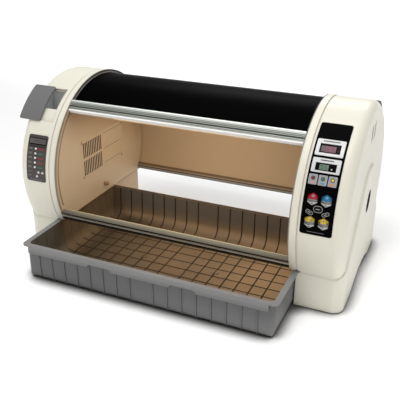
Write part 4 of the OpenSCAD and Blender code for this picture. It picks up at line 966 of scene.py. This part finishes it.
foot_type = type_line(**SMALL_TYPE)
bezel_type = type_line(10, 50.35, **BEZEL_TYPE) + type_line(8, 39.6, **BEZEL_TYPE)
tile_bars = [(right_x(share), TILE_BAR_DEGREES, *TILE_BAR) for share in TILE_SHARES]
print("right bars:", [len(bars) for bars in (foot_type, bezel_type, tile_bars)])

# %% [markdown]
# Screen print is flat and slightly uneven, so an ink is the moulded recipe with a fine grain. One table
# lays all the legends: the name of each piece, its places and its ink.

# %% Lay the legends


def ink(name, colour):
    return moulded(name, colour, 0.5, drift=0.9, grain=2000.0)


grey_ink = ink("grey_ink", rgb(150, 148, 144))
LEGENDS = [
    ("left_legends", left_lines, grey_ink),
    ("left_red_legends", red_tags, ink("red_ink", rgb(152, 44, 52))),
    ("left_teal_legends", teal_tags, ink("teal_ink", rgb(62, 116, 104))),
    ("right_legends", foot_type, grey_ink),
    ("left_strip", dark_strip, ink("black_ink", rgb(12, 12, 12))),
    ("bezel_legends", bezel_type, ink("dark_ink", rgb(30, 30, 30))),
    ("tile_pink", tile_bars[:1], ink("pink_ink", rgb(214, 148, 152))),
    ("tile_blue", tile_bars[1:2], ink("blue_ink", rgb(98, 158, 190))),
    ("tile_orange", tile_bars[2:], ink("orange_ink", rgb(214, 152, 70))),
]
plates = [laid_plates(*legend) for legend in LEGENDS]
print("plates:", [(p.name, len(p.data.polygons)) for p in plates])

# %% [markdown]
# The displays show plain numbers. A digit is made of seven bars: one table says where each bar lies and
# whether it stands, another which bars each digit lights. A bar is one more thin plate.

# %% Digits
BARS = {"a": (0, 1, False), "b": (1, 0.5, True), "c": (1, -0.5, True), "d": (0, -1, False),
        "e": (-1, -0.5, True), "f": (-1, 0.5, True), "g": (0, 0, False)}
LIT = {"0": "abcdef", "3": "abcdg", "5": "acdfg", "6": "acdefg", "7": "abc"}
HALF_W_SHARE, HALF_H_SHARE, BAR_SHARE = 0.25, 0.46, 0.1
STANDING_SHARE, LYING_SHARE = 0.8, 1.6


def digits(name, text, x, degrees, tall, gap, screen, finish):
    """tall: height of a digit. gap: from one digit to the next. screen: the solid that they lie on."""
    half_w, half_h, bar = tall * HALF_W_SHARE, tall * HALF_H_SHARE, tall * BAR_SHARE
    base = top_radius(screen)
    places = []
    for i, digit in enumerate(text):
        middle = x + (i - (len(text) - 1) / 2) * gap
        for across, up, stands in (BARS[b] for b in LIT[digit]):
            size = (bar, half_h * STANDING_SHARE) if stands else (half_w * LYING_SHARE, bar)
            rise = math.degrees(up * half_h / base)
            places.append((middle + across * half_w, degrees + rise, *size, base))
    return laid_plates(name, places, finish)


numbers = [
    digits("warm_digits", "365", 294.5 * MM, 46.1, 9 * MM, 7.5 * MM, "temperature_display",
           ink("warm_ink", rgb(92, 62, 70))),
    digits("damp_digits", "55", 293.8 * MM, 36.05, 7 * MM, 6 * MM, "humidity_display",
           ink("damp_ink", rgb(58, 74, 62))),
    digits("left_digits", "3750", LEFT_MID_X, 25.0, 7 * MM, 7.5 * MM, "left_display",
           ink("left_ink", rgb(66, 64, 62))),
]
print("digits:", [(d.name, len(d.data.polygons)) for d in numbers])

# %% [markdown]
# A snap-in ring holds each lamp in its tile. A ring is a small circle swept once round the lamp's axis.
# The spin merges its ends, and its faces are turned outwards afterwards, because a spin may leave them
# inside out.

# %% Lamp rings
RING_R, RING_HALF_T, RING_HEIGHT_SHARE = 3.1 * MM, 0.55 * MM, 0.474
RING_SIDES, RING_STEPS = 10, 32


def lamp_ring(name, x, degrees, finish):
    shape = bmesh.new()
    place = on_drum(x, degrees, TILE_TOP)
    profile = place @ Matrix.Translation((RING_R, 0, 0)) @ Matrix.Rotation(math.pi / 2, 4, "X")
    made = bmesh.ops.create_circle(shape, segments=RING_SIDES, radius=RING_HALF_T, matrix=profile)
    edges = {e for v in made["verts"] for e in v.link_edges}
    bmesh.ops.spin(shape, geom=made["verts"] + list(edges), cent=place.translation,
                   axis=place.to_3x3() @ Vector((0, 0, 1)), angle=math.tau, steps=RING_STEPS, use_merge=True)
    bmesh.ops.recalc_face_normals(shape, faces=shape.faces)
    for face in shape.faces:
        face.smooth = True
    ring = as_object(name, shape, finish)
    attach(ring, "cabinet")
    return ring


ring_dark = moulded("ring_dark", rgb(66, 58, 56), 0.4)
rings = [lamp_ring("lamp_ring_%d" % i, right_x(share), right_deg(RING_HEIGHT_SHARE), ring_dark)
         for i, share in enumerate(TILE_SHARES)]
print("rings:", [(r.name, len(r.data.polygons)) for r in rings])

# %% [markdown]
# The photograph was taken from the right of the door and from above, with a slightly long lens. The
# camera's place and turn were solved together with the cabinet's shape from points in the photograph.
# They are written here as an azimuth, an elevation, a small roll and a place.

# %% Camera
AZIMUTH, ELEVATION, ROLL = (math.radians(v) for v in (23.565, 24.523, 0.401))
CAMERA_AT = (0.50617, -1.12779, 0.68541)
FOCAL_PIXELS, PHOTO_PIXELS, SENSOR_W = 634.257, 400, 36

back = Vector((math.sin(AZIMUTH) * math.cos(ELEVATION), -math.cos(AZIMUTH) * math.cos(ELEVATION),
               math.sin(ELEVATION)))
level_side = Vector((math.cos(AZIMUTH), math.sin(AZIMUTH), 0))
level_up = back.cross(level_side)
side = level_side * math.cos(ROLL) + level_up * math.sin(ROLL)
up = level_up * math.cos(ROLL) - level_side * math.sin(ROLL)
lens_data = bpy.data.cameras.new("camera")
lens_data.sensor_width = SENSOR_W
lens_data.lens = SENSOR_W * FOCAL_PIXELS / PHOTO_PIXELS
camera = bpy.data.objects.new("camera", lens_data)
camera.matrix_world = Matrix((side, up, back)).transposed().to_4x4()
camera.location = CAMERA_AT
bpy.context.scene.collection.objects.link(camera)
bpy.context.scene.camera = camera
print("lens:", round(lens_data.lens, 2), "mm")

# %% [markdown]
# Studio light for a pale object on a pale floor: a broad lamp overhead does most of the work, a weak
# one on the right shapes the fronts, and one behind keeps the floor there white. A small bright one gives
# keys and lenses their highlights. A warm lamp under the liner lifts the chamber, which would otherwise
# be the darkest place in the picture. It is kept out of reflections, because the real chamber has none.

# %% Lamps
MIDDLE = (0, 0, 0.15)
WARM_WHITE, CHAMBER_LIGHT = (1.0, 0.95, 0.88), (1.0, 0.9, 0.74)
SURROUND = 0.43


def broad_lamp(name, place, target, size, power, colour=(1, 1, 1)):
    data = bpy.data.lights.new(name, "AREA")
    data.shape = "SQUARE"
    data.size = size
    data.energy = power
    data.color = colour
    lamp = bpy.data.objects.new(name, data)
    lamp.location = place
    lamp.rotation_euler = (Vector(target) - Vector(place)).to_track_quat("-Z", "Y").to_euler()
    bpy.context.scene.collection.objects.link(lamp)
    return lamp


broad_lamp("overhead", (-0.1, -0.25, 2.8), MIDDLE, size=2.8, power=52)
broad_lamp("fill", (2.2, -2.0, 1.4), MIDDLE, size=1.6, power=6, colour=WARM_WHITE)
broad_lamp("sparkle", (0.05, -0.8, 2.6), MIDDLE, size=0.16, power=5)
broad_lamp("backdrop", (-0.6, 4.4, 2.6), (-0.6, 4.3, 0), size=3.4, power=95)
chamber = broad_lamp("chamber", (0, 0.03, 0.31), (0, 0.05, 0), size=0.3, power=0.85, colour=CHAMBER_LIGHT)
chamber.visible_glossy = False

world = bpy.data.worlds.new("studio")
world.use_nodes = True
surround = world.node_tree.nodes["Background"].inputs
surround["Color"].default_value = (1, 1, 1, 1)
surround["Strength"].default_value = SURROUND
bpy.context.scene.world = world
bpy.context.scene.view_settings.view_transform = "Standard"

# %% [markdown]
# The floor is a sheet of white paper. A cabinet on its feet shades the paper close to it, so the sheet
# is darker where something stands just above it. A weak glow of its own keeps the sheet white in front of
# the cabinet and far behind it, as in a studio sweep, and leaves the soft shade next to the cabinet.

# %% Floor
FLOOR_HALF = 12
PAPER, PAPER_SHADE = rgb(246, 246, 246), rgb(96, 94, 92)
CONTACT_REACH = 40 * MM
FRONT_SWEEP, REAR_SWEEP, SWEEP_GLOW = (-0.3, 0.0), (0.7, 1.8), 0.28


def floor_paper():
    finish = moulded("floor_paper", PAPER, 0.7, drift=0.99)
    _, y, _ = finish.place()
    in_open = finish.openness(CONTACT_REACH, 0.4, 0.9, alone=False)
    sweep = in_open * (finish.ramp(0.0 - y, *FRONT_SWEEP) | finish.ramp(y, *REAR_SWEEP))
    return finish.feed(Base_Color=finish.mix(in_open, PAPER_SHADE, PAPER), Specular_IOR_Level=0.1,
                       Emission_Color=finish.mix(sweep, (0, 0, 0), (1, 1, 1)), Emission_Strength=SWEEP_GLOW)


sheet = bmesh.new()
bmesh.ops.create_grid(sheet, x_segments=1, y_segments=1, size=FLOOR_HALF)
floor = as_object("floor", sheet, floor_paper())
print("floor:", [round(v) for v in floor.dimensions])

# %% [markdown]
# The finished model keeps the size of the solids.
